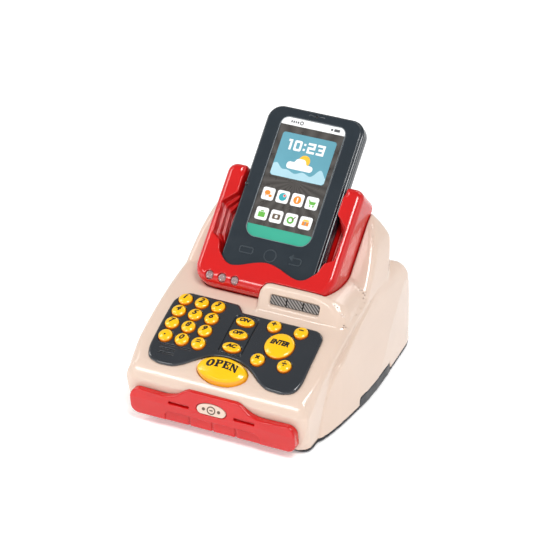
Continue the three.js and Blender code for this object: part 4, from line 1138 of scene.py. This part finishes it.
def icon_loops():
    """Generic pictures for the eight icons: (ink, outlines round the icon's middle)."""
    cart = [[(-3, 2.4), (-2, 2.4), (-1.5, 1.2), (3, 1.2), (2.2, -1.2), (-1.6, -1.2)],
            ellipse(-1, -2.2, 0.7, 0.7, 14), ellipse(1.6, -2.2, 0.7, 0.7, 14)]
    bubble = [ellipse(-0.8, 0.8, 2.2, 1.8, 24), [(-1.6, -0.6), (-0.4, -0.9), (-2.2, -2.2)]]
    disc = ellipse(0, 0, 3, 3, 28)
    return [
        [("orange", bubble), ("orange", [ellipse(1.9, -1.3, 1.3, 1.0, 20)])],
        [("teal", [disc, ellipse(1.1, 1.1, 1.15, 1.15, 18)]), ("coral", [ellipse(1.1, 1.1, 0.9, 0.9, 18)])],
        [("orange", [disc, box2d(-0.5, 0.5, -1.8, 1.8, 0.4)])],
        [("leaf", cart)],
        [("leaf", [box2d(-2.6, 2.6, -2.6, 1.2, 0.5)]), ("leaf", [box2d(-1.3, 1.3, 1.5, 2.4, 0.3)])],
        [("brown", [box2d(-3, 3, -2.1, 1.9, 0.7), ellipse(0, -0.1, 1.2, 1.2, 20)])],
        [("leaf", [ellipse(-0.3, -0.3, 2.7, 2.7, 26), ellipse(-0.3, -0.3, 1.4, 1.4, 20)]),
         ("brown", [[(0.6, 0), (1.2, -0.4), (3.2, 2.6), (2.6, 3)]])],
        [("orange", [box2d(-2.6, 2.6, -2, 1)]), ("sand", [[(-2.6, 1.2), (2.6, 1.2), (1.6, 2.6), (-1.6, 2.6)]]),
         ("sky", [box2d(-0.4, 0.4, -1.8, 0.8)])]]


# rim is the grey of the ring round the screen sheet: painted highlight of the sticker's raised edge
INKS = {
    "white": (0.88, 0.89, 0.89), "rim": (0.16, 0.19, 0.21), "grey": (0.08, 0.08, 0.085), "green": (0.03, 0.37, 0.25),
    "sky": (0.11, 0.33, 0.415), "hills": (0.38, 0.60, 0.68), "orange": (0.85, 0.25, 0.02), "sand": (0.9, 0.55, 0.08),
    "sun": (0.95, 0.50, 0.03), "teal": (0.03, 0.36, 0.42), "coral": (0.75, 0.08, 0.05), "leaf": (0.12, 0.42, 0.05),
    "brown": (0.12, 0.08, 0.05)}


def make_phone_art():
    inks = {name: ink(f"ink_{name}", colour) for name, colour in INKS.items()}
    rays = printed("screen_rays", sunburst, (0.045, 0.04, 0.037), (0.085, 0.078, 0.072))
    screen = print_mesh("screen_sheet", loops_flat([SCREEN_OUTLINE], 0.225),
                        SLOPE @ Matrix.Translation((0, 0, 0.025)))
    finish_piece(screen, "phone", rays, "printed_label", "phone_screen_label")
    flat, raised, top = 0.27, 0.31, 0.35
    highlight_ring = screen_patch(SCREEN_LOW, SCREEN_HIGH, SCREEN_LOW_CORNER, SCREEN_TOP_CORNER, 0.35)
    # A grey ring round the screen sheet: mostly painted highlight along the sticker's raised edge.
    decal("screen_edge_highlight", [highlight_ring, SCREEN_OUTLINE], inks["rim"], 0.66, 0.12)
    decal("screen_status_bar", [screen_patch(77.6, SCREEN_HIGH, 0, SCREEN_TOP_CORNER)], inks["white"], flat)
    marks = [box2d(x, x + 1.1, 79.6, 81.2) for x in (-18, -16.3, -14.6, -12.9)]
    marks += [box2d(13.5, 15, 79.6, 81.2), box2d(16, 20.5, 79.4, 81.4, 0.4)]
    decal("screen_status_marks", [*marks, ellipse(-9.6, 80.4, 1.5, 1.5, 20), ellipse(-9.6, 80.4, 0.8, 0.8, 16)],
          inks["grey"], raised)
    decal("screen_green_bar", [screen_patch(SCREEN_LOW, 0, SCREEN_LOW_CORNER, 0)], inks["green"], flat)
    decal("screen_sky", [box2d(-21.2, 21.2, 38.4, 72, 2)], inks["sky"], flat)
    wave = [(x, 43.5 + sin(x * 0.5) + 5 * exp(-((x + 18) / 4) ** 2) + 4.5 * exp(-((x - 16) / 4) ** 2))
            for x in np.linspace(21.2, -21.2, 60)]
    decal("screen_hills", [[(-21.2, 40), (-19.4, 38.5), (19.4, 38.5), (21.2, 40), *wave]], inks["hills"], raised)
    decal("screen_sun", [ellipse(1.5, 53, 4.4, 4.4, 36)], inks["sun"], raised)
    cloud = rounded([(-11, 45.6, 2.4), (9.5, 45.6, 2.4), (9.5, 50.2, 2.3), (4, 50.4, 1), (2.2, 54.2, 2.6),
                     (-4, 54.2, 3), (-5.6, 51, 1), (-11, 51, 2.6)], turn=12)
    decal("screen_cloud", [cloud], inks["white"], top)
    digits, start = [], CLOCK_LEFT
    for label, width in (("1", 6.2), ("0", 7.4), (":", 3.2), ("2", 7.4), ("3", 6)):
        digits += shifted(CLOCK_SIGNS[label], start, CLOCK_LOW)
        start += width
    decal("screen_clock", digits, inks["white"], raised)
    for i, layers in enumerate(icon_loops()):
        x, t = ICON_XS[i % 4], ICON_TS[i // 4]
        tile = box2d(x - ICON_HALF, x + ICON_HALF, t - ICON_HALF, t + ICON_HALF, 1.6)
        decal(f"screen_icon_{i + 1}", [tile], inks["white"], flat)
        for j, (colour, loops) in enumerate(layers):
            decal(f"screen_icon_{i + 1}_picture_{j + 1}", shifted(loops, x, t), inks[colour], raised + 0.03 * j)


# ---------------- carried-over CAD nodes
CAD_FINISH = [
    (SILICONE, ["keypad_membrane"]), (BOARD, ["main_circuit_board"]), (BASE, ["battery_door"]),
    (NATURAL, ["latch_lever", "latch_bracket"]), (BATTERY, ["battery_1", "battery_2"]),
    (RUBBER, [f"foot_{i}" for i in range(1, 5)]),
    (STEEL, ["speaker", "latch_pin", "battery_door_screw", "battery_contact_1", "battery_contact_2",
             *[f"housing_screw_{i}" for i in range(1, 5)]])]


def paint_cad_nodes():
    for material, names in CAD_FINISH:
        for name in names:
            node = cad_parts[name]
            if not node.data.materials:
                node.data.materials.append(material)
            for entry in node.material_slots:
                entry.material = material


# ---------------- all pieces
MOULDED = [  # piece, shape, low and high corners, step, local frame, body, material, slot, CAD node
    ("housing_shell", housing_shape, (-79, -92, 3), (79, 97, 123), 1.3, None,
     "root", CREAM, "cream_plastic", "upper_housing"),
    ("base_moulding", base_shape, (-79, -84, 0.5), (79, 97, 19.5), 1.15, None,
     "root", BASE, "base_plastic", "base_plate"),
    ("cradle_shell", cradle_shape, (-54, -50.5, -24.5), (54, 42, 3.5), 0.75, out_of(SLOPE),
     "root", RED, "red_plastic", "cradle"),
    ("keypad_fascia", panel_shape, (-61, -147, 0.2), (61, -81, 2.8), 0.5, bend_to_deck,
     "root", CHARCOAL, "panel_plastic", "keypad_panel"),
    ("drawer_box", tray_shape, (-53, -92.5, 4.5), (53, 15, 24.2), 1.0, None,
     "drawer", RED, "red_plastic", "drawer_tray"),
    ("drawer_front", fascia_shape, (-65, -97.2, 6), (65, -84, 35.4), 0.62, None,
     "drawer", RED, "red_plastic", "drawer_fascia"),
    ("badge_plate", badge_shape, (-11.6, -5, -1.5), (11.6, 4, 0.7), 0.4, out_of(BADGE),
     "drawer", CREAM, "cream_plastic", "drawer_badge"),
    ("phone_front", phone_front_shape, (-38.5, -40.5, PHONE_SEAM), (38.5, 92, 1.3), 0.62, out_of(SLOPE),
     "phone", PHONE, "phone_plastic", "phone_front_shell"),
    ("phone_back", phone_back_shape, (-38.5, -40.5, PHONE_BACK - 0.3), (38.5, 92, PHONE_SEAM + 0.3), 0.9,
     out_of(SLOPE), "phone", PHONE, "phone_plastic", "phone_back_shell"),
]
for *moulding, body, material, slot, node in MOULDED:
    finish_piece(moulded(*moulding), body, material, slot, node)
make_lamps()
make_keys()
make_open_button()
make_display()
make_badge_print()
make_spring()
make_phone_fittings()
make_phone_art()
paint_cad_nodes()
